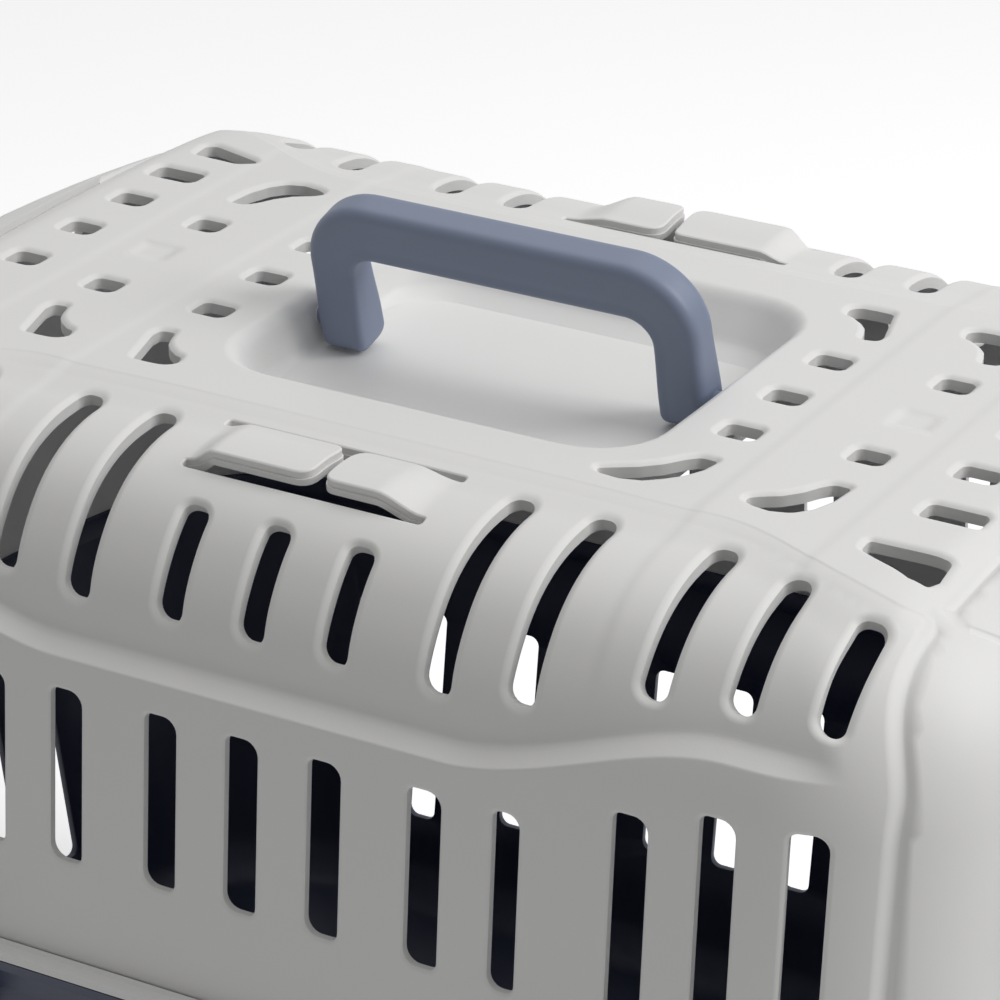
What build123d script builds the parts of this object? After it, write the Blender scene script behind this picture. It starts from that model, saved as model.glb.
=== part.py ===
"""Small pet carrier: a vented top shell clipped to a tub, with a lattice door and a fold-down handle.

X runs along the carrier, from the closed back end (-X) to the door (+X). Y runs across it and Z up.
The origin is on the ground, under the middle of the carrier. All sizes are in millimetres.
"""
import os
from math import asin, cos, degrees, radians, sqrt, tan

from build123d import *

os.makedirs("parts", exist_ok=True)

# Overall body
roof_height = 310.0          # ground to the raised roof panel
parting_height = 153.0       # ground to the joint between the top shell and the tub
wall = 2.2                   # thickness of both mouldings
half_length = 239.0          # middle of the body to the end walls, at the joint
half_width = 163.5           # middle of the body to the long walls, at the joint
end_bow = 33.0               # how far the ends bulge beyond their corners
corner_radius = 60.0         # body corners seen from above
shell_draft = 4.2            # lean of the top shell's long walls, degrees
end_draft = 2.6              # lean of the top shell's end walls, degrees
shoulder_radius = 54.0       # rounding between the walls and the roof
panel_rise = 2.8             # raised roof panel above the shoulders

# Narrower waist of the top shell, above the wavy ledge
waist_half_width = 155.0     # at the joint, behind the ledge
waist_draft = 3.1            # lean of the waist's walls, degrees
waist_radius = 45.0          # its rounding into the roof
waist_half_length = 195.0    # the waist ends at the hoop grooves
ledge_low = 250.0            # height of the ledge along the middle of the side
ledge_high = 272.5           # height of the ledge near the ends
ledge_flat = 62.0            # half length of its low middle
ledge_crest = 148.0          # where it has risen to its full height
ledge_slope = 42.0           # slope of the ledge face, degrees

# Hoop groove between the middle of the shell and its ends
hoop_roof_x = 190.0          # middle to the groove on the roof
hoop_wall_x = 206.0          # middle to the groove at hoop_low
hoop_low = 205.0
hoop_groove_width = 7.0
hoop_groove_depth = 1.1

# Raised roof panel
panel_half_width = 90.0      # along the middle
panel_end_half_width = 104.0 # where it flares at the ends
panel_flare_start = 124.0
panel_flare_end = 165.0
panel_half_length = 180.0
panel_corner = 12.0

# Joint between the mouldings
flange_reach = 6.0
flange_thickness = 3.0
spigot_height = 5.0          # rib of the tub that locates the top shell
spigot_thickness = 1.8
seat_gap = 0.3               # clearance where one moulding sits inside another

# Tub
tub_bottom = 5.0             # underside of the tub's floor
tub_draft = 7.6              # lean of the tub's walls, degrees
tub_edge_radius = 18.0
foot_length = 62.0
foot_width = 24.0
foot_corner = 8.0
foot_x = 150.0
foot_y = 96.0

# Slots through the long sides, by distance from the middle
slot_x = (0.0, 27.5, 60.0, 86.0, 124.0, 150.0, 176.0)
slot_width = 11.0
slot_corner = 3.6
narrow_slot_width = 8.6      # the fourth slot of the lower row
upper_slot_top_y = (132.0, 132.0, 99.0, 99.0, 101.0, 109.0, 118.0)
upper_slot_drop = (41.0, 41.0, 41.0, 39.0, 27.0, 27.0, 27.0)
lower_slot_top = (241.0, 241.0, 241.0, 241.0, 252.0, 258.0, 259.0)
lower_slot_bottom = 188.0
tub_slot_top = 117.0
tub_slot_bottom = (50.0, 49.0, 46.0, 43.0, 37.0, 33.0, 31.0)

# Slots through the closed back end
back_slot_y = (15.0, 45.5, 76.0)
back_slot_inset = 44.0       # upper end of the slots, in from the end wall
back_slot_drop = 40.0
back_tub_slot_y = (0.0, 27.0, 54.0)
back_tub_slot_top = 112.0
back_tub_slot_bottom = 38.0

# Vents through the roof
vent_length = 12.0
vent_width = 11.0
vent_corner = 3.0
inner_row_x = 89.0
middle_row_x = 131.0
outer_row_x = 165.0
outer_vent_length = 16.0
row_pitch = 29.0
fin_size = 20.0
fin_y = 64.0
fin_lean = 6.0               # the fins stand a little nearer the handle than their rows
outer_fin_y = 88.0
crescent_size = 26.0
crescent_band = 6.5
crescent_y = 48.0
fin_corner = 1.6
slit_x = 183.0
slit_length = 40.0
slit_width = 2.6
slit_shift = 8.0

# Handle recess
recess_half_length = 71.0
recess_half_width = 60.0
recess_corner = 20.0
recess_depth = 17.3
recess_floor_half_length = 68.8
recess_floor_half_width = 50.0

# Handle
handle_length = 134.4        # over both legs
handle_lean = 15.0           # lean towards -Y at rest, degrees
handle_height = 47.5         # pivot to the top of the grip
grip_height = 18.5
leg_width = 13.0
handle_thickness = 13.0
handle_corner = 27.0
handle_inner_corner = 13.0
handle_foot_radius = 7.8
handle_edge = 3.2
foot_edge = 1.5
pivot_drop = 8.8             # pivot below the roof panel
peg_radius = 3.5
peg_length = 8.0
peg_end_gap = 0.5
running_gap = 0.06           # radial clearance of every hinge peg in its hole
socket_wall = 4.0

# Belt tongues on the shoulders
belt_window_half = 40.0
belt_window_shift = 1.5      # the windows sit a little off centre, turned half round from side to side
belt_window_low_y = 118.0
belt_window_high_y = 97.0
belt_window_corner = 2.0
tongue_width = 16.5
tongue_thickness = 2.6
tongue_rise = 5.0
tongue_ramp = 9.0
tongue_gap = 7.0
tongue_corner = 4.0
tongue_root = 4.0
tongue_tilt = 9.5            # the tongues follow the slope of the shoulder, degrees

# Door frame, moulded half into each shell
doorway_half_width = 97.0
doorway_sill = 46.0
doorway_lintel = 262.0
doorway_corner = 3.0
jamb_wall = 3.0
jamb_front = 245.0
jamb_back = 210.0
stop_lip = 4.0               # ledge that the closed door meets
stop_thickness = 2.6
lip_corner = 2.0             # inner corners of the ledge

# Door
door_gap = 0.8               # clearance all round the door
door_thickness = 5.6
door_centre_x = 234.0
barrel_radius = 4.4
barrel_inset = 1.6           # the barrel stops short of the doorway's round corners
hinge_inset = 6.2            # hinge axis from the side of the doorway
hinge_peg_radius = 2.6
hinge_peg_length = 5.0
hinge_boss_radius = 6.0
hinge_boss_height = 3.0
hinge_stile = 17.0
bolt_stile = 30.0
rail_height = 16.0
lattice_columns = 8
lattice_rows = 3
lattice_bar = 6.0
lattice_corner = 5.0

# Door bolts
bolt_width = 9.0
bolt_thickness = 3.6
bolt_travel = 8.0
bolt_gap = 0.25
strike_gap = 0.6             # clearance round a bolt in the door frame
bolt_inset = 11.5            # middle of the bolts from the door's free edge
bolt_length = 74.0
bolt_tip_drop = 3.4          # tip of a drawn bolt below the edge of the door
bolt_tip_chamfer = 1.2
grip_place = 20.0            # middle of the thumb grip from the bolt's tail
grip_width = 17.0
grip_tall = 14.0
grip_reach = 5.4             # thumb grip in front of the door
grip_edge = 1.4
neck_width = 6.0
neck_tall = 7.0
cover_thickness = 1.8
cover_overlap = 3.0
cover_end_inset = 5.2

# Clips
side_clip_x = 112.0
back_clip_y = 70.0
clip_width = 34.0
clip_thickness = 2.6
clip_gap = 0.4
clip_pivot_drop = 20.0       # pivot below the joint
clip_barrel_radius = 3.2
clip_peg_radius = 2.0
clip_peg_length = 3.4
clip_hook = 3.2              # how far the hook reaches in from the plate
clip_hook_thickness = 3.0
clip_hook_chamfer = 1.6
clip_tab = 12.0              # finger tab above the hook
clip_corner = 4.0
clip_ridges = 3
clip_ridge_pitch = 3.0
clip_ridge_depth = 0.6
lug_thickness = 4.0
lug_gap = 0.3
lug_radius = 4.6
lug_brace = 5.0              # how much lower the lugs start on the wall

# Sizes that follow from the ones above
shoulder_top = roof_height - panel_rise
shell_rise = shoulder_top - parting_height
pivot_height = roof_height - pivot_drop
bow_radius = (half_width ** 2 + end_bow ** 2) / (2 * end_bow)
doorway_middle = (doorway_sill + doorway_lintel) / 2
door_edge_y = doorway_half_width - door_gap
door_low = doorway_sill + door_gap
door_high = doorway_lintel - door_gap
door_back = door_centre_x - door_thickness / 2
door_front = door_centre_x + door_thickness / 2
hinge_y = hinge_inset - doorway_half_width
bolt_y = door_edge_y - bolt_inset
bolt_back = door_back + bolt_gap
bolt_front = bolt_back + bolt_thickness
channel_front = bolt_front + bolt_gap
clip_pivot_y = flange_reach - clip_barrel_radius
clip_pivot_z = parting_height - clip_pivot_drop
hook_low = parting_height + flange_thickness + seat_gap
hook_high = hook_low + clip_hook_thickness


def leaned(size, rise, lean):
    """Half size of a leaning wall, rise above the place where it measures size."""
    return size - rise * tan(radians(lean))


def chord(radius, distance):
    """How far a circle reaches at a distance from its centre."""
    return sqrt(radius ** 2 - distance ** 2)


def block(low, high):
    """Box between two corners."""
    size = [b - a for a, b in zip(low, high)]
    return Pos(*low) * Box(*size, align=(Align.MIN, Align.MIN, Align.MIN))


def rod(radius, start, end):
    """Round bar between two points on a line along X or Z."""
    line = Vector(*end) - Vector(*start)
    return extrude(Plane(origin=start, z_dir=line) * Circle(radius), amount=line.length)


def rounded_prism(plane, width, height, radius, depth):
    """Prism whose section is a rounded rectangle drawn on plane."""
    return extrude(plane * RectangleRounded(width, height, radius), amount=depth)


def mirrored(values):
    """Each value and its negative, without a second zero."""
    return sorted({sign * value for value in values for sign in (-1, 1)})


def plan_face(height, grow, draw_in_length=0.0, draw_in_width=0.0):
    """Outline seen from above: straight long sides, bowed ends and round corners."""
    half_l = half_length + grow - draw_in_length
    half_w = half_width + grow - draw_in_width
    corner = half_l - end_bow
    with BuildSketch(Plane.XY.offset(height)) as outline:
        with BuildLine():
            Line((-corner, -half_w), (corner, -half_w))
            ThreePointArc((corner, -half_w), (half_l, 0), (corner, half_w))
            Line((corner, half_w), (-corner, half_w))
            ThreePointArc((-corner, half_w), (-half_l, 0), (-corner, -half_w))
        make_face()
        fillet(outline.vertices(), corner_radius + grow)
    return outline.sketch


def full_form(grow):
    """Form of the top shell as if the ledge ran right up to the roof."""
    low = plan_face(parting_height, grow)
    high = plan_face(
        shoulder_top + grow,
        grow,
        shell_rise * tan(radians(end_draft)),
        shell_rise * tan(radians(shell_draft)),
    )
    body = loft([low, high], ruled=True)
    return fillet(body.faces().sort_by(Axis.Z)[-1].edges(), shoulder_radius + grow)


def waist_form(grow):
    """Bar with the section of the shell's narrower middle."""
    half_top = leaned(waist_half_width, shell_rise, waist_draft) + grow
    half_low = waist_half_width + grow
    top = shoulder_top + grow
    with BuildSketch(Plane.YZ) as profile:
        with BuildLine():
            Polyline(
                (-half_low, parting_height),
                (half_low, parting_height),
                (half_top, top),
                (-half_top, top),
                close=True,
            )
        make_face()
        fillet(profile.vertices().sort_by(Axis.Y)[-2:], waist_radius + grow)
    return extrude(profile.sketch, amount=half_length, both=True)


def ledge_face(y, shift, grow):
    """Everything above the wavy ledge, on an upright plane at y."""
    half = waist_half_length - grow
    low = ledge_low + shift + grow
    high = ledge_high + shift + grow
    top = roof_height + half_width
    halfway = (ledge_flat + ledge_crest) / 2
    wave = [
        (ledge_flat, low),
        (halfway, (low + high) / 2),
        (ledge_crest, high),
        (half, high),
    ]
    with BuildSketch(Plane(origin=(0, y, 0), x_dir=(1, 0, 0), z_dir=(0, -1, 0))) as face:
        with BuildLine():
            Polyline((half, high), (half, top), (-half, top), (-half, high))
            Spline(
                *[(-x, z) for x, z in reversed(wave)],
                (0, low),
                *wave,
                tangents=[(1, 0), (1, 0)],
            )
        make_face()
    return face.sketch


def ledge_region(grow):
    """Space above both ledges; its lower boundary slopes down going outward."""
    inner = half_width / 2
    outer = half_width + waist_radius
    edge = (half_width + waist_half_width) / 2
    slope = tan(radians(ledge_slope))
    near, far = [
        loft([ledge_face(side * y, slope * (edge - y), grow) for y in (inner, outer)], ruled=True)
        for side in (-1, 1)
    ]
    return near + far


def panel_form(grow):
    """Raised roof panel, wider at both ends, standing on the shoulders."""
    wide = panel_end_half_width + grow
    narrow = panel_half_width + grow
    end = panel_half_length + grow
    base = shoulder_top - 4 * panel_rise
    with BuildSketch(Plane.XY.offset(base)) as outline:
        Rectangle(2 * end, 2 * wide)
        fillet(outline.vertices(), panel_corner + grow)
        for side in (-1, 1):
            with BuildLine():
                Spline(
                    (-panel_flare_end, side * wide),
                    (-panel_flare_start, side * narrow),
                    tangents=[(1, 0), (1, 0)],
                )
                Line((-panel_flare_start, side * narrow), (panel_flare_start, side * narrow))
                Spline(
                    (panel_flare_start, side * narrow),
                    (panel_flare_end, side * wide),
                    tangents=[(1, 0), (1, 0)],
                )
                Line((panel_flare_end, side * wide), (-panel_flare_end, side * wide))
            make_face(mode=Mode.SUBTRACT)
    return extrude(outline.sketch, amount=roof_height + grow - base)


def shell_form(grow):
    """Solid form of the top shell: its outside at grow 0, its inside at grow -wall."""
    return full_form(grow) - (ledge_region(grow) - waist_form(grow)) + panel_form(grow)


def recess_form(grow):
    """Dish in the roof that the handle folds into."""
    rim = Plane.XY.offset(roof_height + wall) * RectangleRounded(
        2 * (recess_half_length + grow), 2 * (recess_half_width + grow), recess_corner + grow
    )
    floor = Plane.XY.offset(roof_height - recess_depth - grow) * RectangleRounded(
        2 * (recess_floor_half_length + grow), 2 * (recess_floor_half_width + grow), recess_corner + grow
    )
    return loft([floor, rim], ruled=True)


def handle_sockets():
    """Blocks under the roof that hold the handle's pegs."""
    reach = handle_length / 2 + peg_length + peg_end_gap + socket_wall
    half = handle_foot_radius + socket_wall
    low = pivot_height - peg_radius - socket_wall
    return block((-reach, -half, low), (reach, half, roof_height - wall / 2))


def socket_bore():
    """Both peg holes in one run across the recess."""
    end = handle_length / 2 + peg_length + peg_end_gap
    return rod(peg_radius + running_gap, (-end, 0, pivot_height), (end, 0, pivot_height))


def hoop_grooves():
    """Shallow grooves that run over the shell between its middle and its ends."""
    lean = (hoop_wall_x - hoop_roof_x) / (roof_height - hoop_low)
    top = roof_height + 10
    low = hoop_low - 30
    top_x = hoop_roof_x - lean * (top - roof_height)
    low_x = hoop_roof_x + lean * (roof_height - low)
    bands = []
    for end in (-1, 1):
        with BuildSketch(Plane.XZ) as band:
            with BuildLine():
                Polyline(
                    (end * top_x, top),
                    (end * (top_x + hoop_groove_width), top),
                    (end * (low_x + hoop_groove_width), low),
                    (end * low_x, low),
                    close=True,
                )
            make_face()
        bands.append(extrude(band.sketch, amount=half_width, both=True))
    return bands[0] + bands[1] - full_form(-hoop_groove_depth)


def shoulder_slot(outward, centre, radius, top_reach, drop):
    """Slot cut square to a shoulder at 45 degrees, from top_reach out from the arc's centre downward."""
    top = chord(radius, top_reach)
    low = max(roof_height - drop - centre.Z, 0.0)
    start = (top_reach - top) / sqrt(2)
    end = (chord(radius, low) - low) / sqrt(2)
    out = (outward + Vector(0, 0, 1)).normalized()
    down = (outward - Vector(0, 0, 1)).normalized()
    origin = centre + out * (radius / 2) + down * ((start + end) / 2)
    plane = Plane(origin=origin, x_dir=out.cross(down), z_dir=out)
    return rounded_prism(plane, slot_width, end - start, slot_corner, radius)


def upper_slots():
    """Slots over the shoulders of both long sides."""
    centre_z = shoulder_top - waist_radius
    centre_y = leaned(waist_half_width, shell_rise, waist_draft) - waist_radius
    tools = []
    for x, top_y, drop in zip(slot_x, upper_slot_top_y, upper_slot_drop):
        for place in mirrored([x]):
            for side in (-1, 1):
                centre = Vector(place, side * centre_y, centre_z)
                tools.append(shoulder_slot(Vector(0, side, 0), centre, waist_radius, top_y - centre_y, drop))
    return tools


def back_slots():
    """Slots over the shoulder of the closed end."""
    centre_z = shoulder_top - shoulder_radius
    end_x = half_length - shell_rise * tan(radians(end_draft))
    tools = []
    for y in mirrored(back_slot_y):
        bowed_in = bow_radius - chord(bow_radius, y)
        centre = Vector(bowed_in + shoulder_radius - end_x, y, centre_z)
        reach = shoulder_radius - back_slot_inset
        tools.append(shoulder_slot(Vector(-1, 0, 0), centre, shoulder_radius, reach, back_slot_drop))
    return tools


def side_slots(tops, bottoms, widths):
    """Slots straight through both long sides."""
    tools = []
    for x, top, bottom, width in zip(slot_x, tops, bottoms, widths):
        for place in mirrored([x]):
            for side in (-1, 1):
                plane = Plane(
                    origin=(place, side * 3 / 4 * half_width, (top + bottom) / 2),
                    x_dir=(1, 0, 0),
                    z_dir=(0, side, 0),
                )
                tools.append(rounded_prism(plane, width, top - bottom, slot_corner, half_width / 2))
    return tools


def back_tub_slots():
    """Slots straight through the closed end of the tub."""
    height = back_tub_slot_top - back_tub_slot_bottom
    middle = (back_tub_slot_top + back_tub_slot_bottom) / 2
    tools = []
    for y in mirrored(back_tub_slot_y):
        plane = Plane(origin=(-3 / 4 * half_length, y, middle), x_dir=(0, 1, 0), z_dir=(-1, 0, 0))
        tools.append(rounded_prism(plane, slot_width, height, slot_corner, half_length / 2))
    return tools


def through_roof(sketch):
    """Cutter straight down through the roof panel."""
    base = roof_height - 4 * wall
    return extrude(Plane.XY.offset(base) * sketch, amount=8 * wall)


def fin_outline():
    """Three-cornered vent with one hollow side."""
    half = fin_size / 2
    with BuildSketch() as fin:
        with BuildLine():
            Polyline((half * 0.1, half), (-half * 0.3, half), (-half, -half), (half, -half))
            ThreePointArc((half, -half), (half * 0.35, half * 0.1), (half * 0.1, half))
        make_face()
        fillet(fin.vertices(), fin_corner)
    return fin.sketch


def crescent_outline():
    """Quarter ring vent, with its centre at the origin."""
    with BuildSketch() as crescent:
        Circle(crescent_size)
        Circle(crescent_size - crescent_band, mode=Mode.SUBTRACT)
        Rectangle(crescent_size, crescent_size, align=(Align.MIN, Align.MAX), mode=Mode.INTERSECT)
        fillet(crescent.vertices(), fin_corner)
    return crescent.sketch


def roof_vents():
    """Small vents through the roof panel, the same after half a turn about Z."""
    square = RectangleRounded(vent_length, vent_width, vent_corner)
    oblong = RectangleRounded(outer_vent_length, vent_width, vent_corner)
    slit = Rectangle(slit_width, slit_length)
    fin = fin_outline()
    crescent = crescent_outline()
    half = [Pos(inner_row_x, row * row_pitch) * square for row in (-1, 0, 1)]
    half += [Pos(middle_row_x, row * row_pitch) * square for row in (-1, 1)]
    half += [Pos(outer_row_x, row * row_pitch) * oblong for row in (-2, -1, 0, 1, 2)]
    half += [Pos(x - fin_lean, fin_y) * Rot(0, 0, 180) * fin for x in (inner_row_x, middle_row_x)]
    half += [Pos(x - crescent_size, -crescent_y) * crescent for x in (inner_row_x, middle_row_x)]
    half += [
        Pos(outer_row_x, -outer_fin_y) * fin,
        Pos(slit_x, -slit_shift) * slit,
    ]
    tools = [through_roof(sketch) for sketch in half]
    return tools + [Rot(0, 0, 180) * tool for tool in tools]


def belt_windows():
    """Window in each shoulder that the tongues stand in."""
    middle_y = (belt_window_low_y + belt_window_high_y) / 2
    depth = belt_window_low_y - belt_window_high_y
    base = Plane.XY.offset(shoulder_top - depth)
    window = RectangleRounded(2 * belt_window_half, depth, belt_window_corner)
    return [
        extrude(base * Pos(side * belt_window_shift, side * middle_y) * window, amount=2 * depth)
        for side in (-1, 1)
    ]


def tongue():
    """Belt tongue that springs from the +X end of its window, centred on the window."""
    tip = tongue_gap / 2
    root = belt_window_half + tongue_root
    flat = belt_window_half - tongue_ramp
    with BuildSketch(Plane.XZ) as profile:
        with BuildLine():
            Polyline(
                (root, -tongue_thickness),
                (belt_window_half, -tongue_thickness),
                (flat, tongue_rise - tongue_thickness),
                (tip, tongue_rise - tongue_thickness),
                (tip, tongue_rise),
                (flat, tongue_rise),
                (belt_window_half, 0),
                (root, 0),
                close=True,
            )
        make_face()
    arm = extrude(profile.sketch, amount=tongue_width / 2, both=True)
    return fillet(arm.edges().filter_by(Axis.Z).sort_by(Axis.X)[:2], tongue_corner)


def belt_tongues():
    """Two tongues on each shoulder, moulded with the shell."""
    middle_y = (belt_window_low_y + belt_window_high_y) / 2
    centre_y = leaned(waist_half_width, shell_rise, waist_draft) - waist_radius
    height = shoulder_top - waist_radius + chord(waist_radius, middle_y - centre_y)
    arm = tongue()
    placed = []
    for side in (-1, 1):
        frame = Pos(side * belt_window_shift, side * middle_y, height) * Rot(-side * tongue_tilt, 0, 0)
        placed += [frame * arm, frame * Rot(0, 0, 180) * arm]
    return placed


def doorway_block(grow, back, front, corner=doorway_corner):
    """Rounded block with the outline of the doorway, between two distances along X."""
    plane = Plane(origin=(back, 0, doorway_middle), x_dir=(0, 1, 0), z_dir=(1, 0, 0))
    width = 2 * (doorway_half_width + grow)
    height = doorway_lintel - doorway_sill + 2 * grow
    return rounded_prism(plane, width, height, corner + grow, front - back)


def door_frame():
    """Tube round the doorway, the ledge that the door closes against, and the hinge bosses."""
    tube = doorway_block(jamb_wall, jamb_back, jamb_front) - doorway_block(0, jamb_back, jamb_front)
    lip_front = door_back - seat_gap
    lip_back = lip_front - stop_thickness
    lip = doorway_block(jamb_wall / 2, lip_back, lip_front)
    lip -= doorway_block(-stop_lip, lip_back, lip_front, stop_lip + lip_corner)
    lip -= block((0, -half_width, 0), (half_length, hinge_y + 2 * barrel_radius, roof_height))
    boss_low = doorway_sill - jamb_wall
    boss_high = doorway_lintel + jamb_wall
    frame = tube + lip
    for start, end in (
        (boss_low + jamb_wall / 2, boss_low - hinge_boss_height),
        (boss_high - jamb_wall / 2, boss_high + hinge_boss_height),
    ):
        frame += rod(hinge_boss_radius, (door_centre_x, hinge_y, start), (door_centre_x, hinge_y, end))
    return frame


def door_frame_holes():
    """Hinge holes and bolt holes above and below the door."""
    low = doorway_sill - jamb_wall - hinge_boss_height
    high = doorway_lintel + jamb_wall + hinge_boss_height
    bore = rod(hinge_peg_radius + running_gap, (door_centre_x, hinge_y, low), (door_centre_x, hinge_y, high))
    strike = block(
        (bolt_back - strike_gap, bolt_y - bolt_width / 2 - strike_gap, low),
        (bolt_front + strike_gap, bolt_y + bolt_width / 2 + strike_gap, high),
    )
    return [bore, strike]


def clip_places():
    """Name, place on the body outline and turn about Z of each clip."""
    angle = asin(back_clip_y / bow_radius)
    back_x = bow_radius * (1 - cos(angle)) - half_length
    turn = degrees(angle)
    return {
        "side_clip_near_front": (side_clip_x, -half_width, 180.0),
        "side_clip_near_back": (-side_clip_x, -half_width, 180.0),
        "side_clip_far_front": (side_clip_x, half_width, 0.0),
        "side_clip_far_back": (-side_clip_x, half_width, 0.0),
        "back_clip_near": (back_x, -back_clip_y, 90.0 + turn),
        "back_clip_far": (back_x, back_clip_y, 90.0 - turn),
    }


def at_clips(shape):
    """A copy of shape, drawn with the body's wall at Y 0 and Y outward, in each clip's place."""
    return {name: Pos(x, y, 0) * Rot(0, 0, turn) * shape for name, (x, y, turn) in clip_places().items()}


def clip_notch():
    """Notch that a clip needs in both flanges."""
    half = clip_width / 2 + clip_gap
    edge = flange_reach - clip_thickness - clip_gap
    low = parting_height - flange_thickness - 1
    high = parting_height + flange_thickness + 1
    return block((-half, edge, low), (half, 2 * flange_reach, high))


def clip():
    """Clip: barrel and pegs below, a hook over the flange, and a ridged finger tab on top."""
    half = clip_width / 2
    plate_in = flange_reach - clip_thickness
    plate_high = hook_high + clip_tab
    plane = Plane(
        origin=(0, plate_in, (clip_pivot_z + plate_high) / 2), x_dir=(1, 0, 0), z_dir=(0, 1, 0)
    )
    plate = rounded_prism(plane, clip_width, plate_high - clip_pivot_z, clip_corner, clip_thickness)
    hook = block((-half, plate_in - clip_hook, hook_low), (half, plate_in + clip_thickness / 2, hook_high))
    inner = hook.edges().filter_by(Axis.X).group_by(Axis.Y)[0].sort_by(Axis.Z)[-1]
    hook = chamfer(inner, clip_hook_chamfer)
    pin_half = half + clip_peg_length
    barrel = rod(clip_barrel_radius, (-half, clip_pivot_y, clip_pivot_z), (half, clip_pivot_y, clip_pivot_z))
    pin = rod(clip_peg_radius, (-pin_half, clip_pivot_y, clip_pivot_z), (pin_half, clip_pivot_y, clip_pivot_z))
    body = plate + hook + barrel + pin
    for ridge in range(clip_ridges):
        high = plate_high - clip_corner - ridge * clip_ridge_pitch
        body -= block(
            (clip_corner - half, flange_reach - clip_ridge_depth, high - clip_ridge_pitch / 2),
            (half - clip_corner, 2 * flange_reach, high),
        )
    return body


def clip_lugs():
    """Pair of ears on the tub that carry a clip."""
    inner = clip_width / 2 + lug_gap
    low = clip_pivot_z - lug_radius
    high = clip_pivot_z + lug_radius
    root = [
        (z, leaned(0.0, parting_height - z, tub_draft) - wall / 2) for z in (low - lug_brace, high)
    ]
    ears = []
    for side in (-1, 1):
        with BuildSketch(Plane.YZ.offset(side * (inner + lug_thickness / 2))) as ear:
            with BuildLine():
                Polyline(
                    (root[0][1], root[0][0]),
                    (clip_pivot_y, low),
                    (clip_pivot_y, high),
                    (root[1][1], root[1][0]),
                    close=True,
                )
            make_face()
            with Locations((clip_pivot_y, clip_pivot_z)):
                Circle(lug_radius)
                Circle(clip_peg_radius + running_gap, mode=Mode.SUBTRACT)
        ears.append(extrude(ear.sketch, amount=lug_thickness / 2, both=True))
    return ears[0] + ears[1]


def flange(low, high, inward):
    """Flange round the joint between two heights, reaching inward from the body outline."""
    return extrude(plan_face(low, flange_reach) - plan_face(low, -inward), amount=high - low)


def top_shell():
    """Top shell: roof, shoulders, waist, ledge, slots, recess, belt tongues and half the door frame."""
    inside = shell_form(-wall) - recess_form(wall) - handle_sockets()
    body = shell_form(0) + flange(parting_height, parting_height + flange_thickness, wall) - inside
    body -= [recess_form(0), socket_bore(), hoop_grooves()]
    widths = [narrow_slot_width if index == 3 else slot_width for index in range(len(slot_x))]
    bottoms = [lower_slot_bottom] * len(slot_x)
    body -= upper_slots() + side_slots(lower_slot_top, bottoms, widths) + back_slots()
    body -= roof_vents() + belt_windows() + list(at_clips(clip_notch()).values())
    body += belt_tongues()
    body -= doorway_block(jamb_wall / 2, jamb_back, half_length + 2 * flange_reach)
    upper = block((0, -half_width, parting_height), (2 * half_length, half_width, roof_height))
    body += door_frame() & upper
    return body - door_frame_holes()


def tub_form(grow):
    """Solid form of the tub: its outside at grow 0, its inside at grow -wall."""
    base = tub_bottom - grow
    drawn_in = (parting_height - base) * tan(radians(tub_draft))
    low = plan_face(base, grow, drawn_in, drawn_in)
    body = loft([low, plan_face(parting_height, grow)], ruled=True)
    return fillet(body.faces().sort_by(Axis.Z)[0].edges(), tub_edge_radius + grow)


def spigot():
    """Rib inside the joint that locates the top shell, open at the door frame."""
    outer = wall + seat_gap + spigot_height * tan(radians(shell_draft))
    inner = outer + spigot_thickness
    ring = plan_face(parting_height, -outer) - plan_face(parting_height, -inner)
    clear = doorway_half_width + jamb_wall + seat_gap
    gap = block((jamb_back - seat_gap, -clear, 0), (half_length, clear, roof_height))
    return extrude(ring, amount=spigot_height) - gap, inner


def base_tub():
    """Tub: drafted walls, floor, feet, rim with its spigot, clip lugs and half the door frame."""
    rib, rim_inward = spigot()
    inside = tub_form(-wall)
    body = tub_form(0) - inside + flange(parting_height - flange_thickness, parting_height, rim_inward)
    body += rib
    foot = extrude(RectangleRounded(foot_length, foot_width, foot_corner), amount=tub_bottom + wall / 2)
    body += [Pos(x, y, 0) * foot for x in mirrored([foot_x]) for y in mirrored([foot_y])]
    tops = [tub_slot_top] * len(slot_x)
    widths = [slot_width] * len(slot_x)
    body -= side_slots(tops, tub_slot_bottom, widths) + back_tub_slots()
    body -= list(at_clips(clip_notch()).values())
    body += list(at_clips(clip_lugs()).values())
    body -= doorway_block(jamb_wall / 2, jamb_back, half_length + 2 * flange_reach)
    lower = block((0, -half_width, 0), (2 * half_length, half_width, parting_height))
    body += door_frame() & lower
    return body - door_frame_holes()


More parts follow.
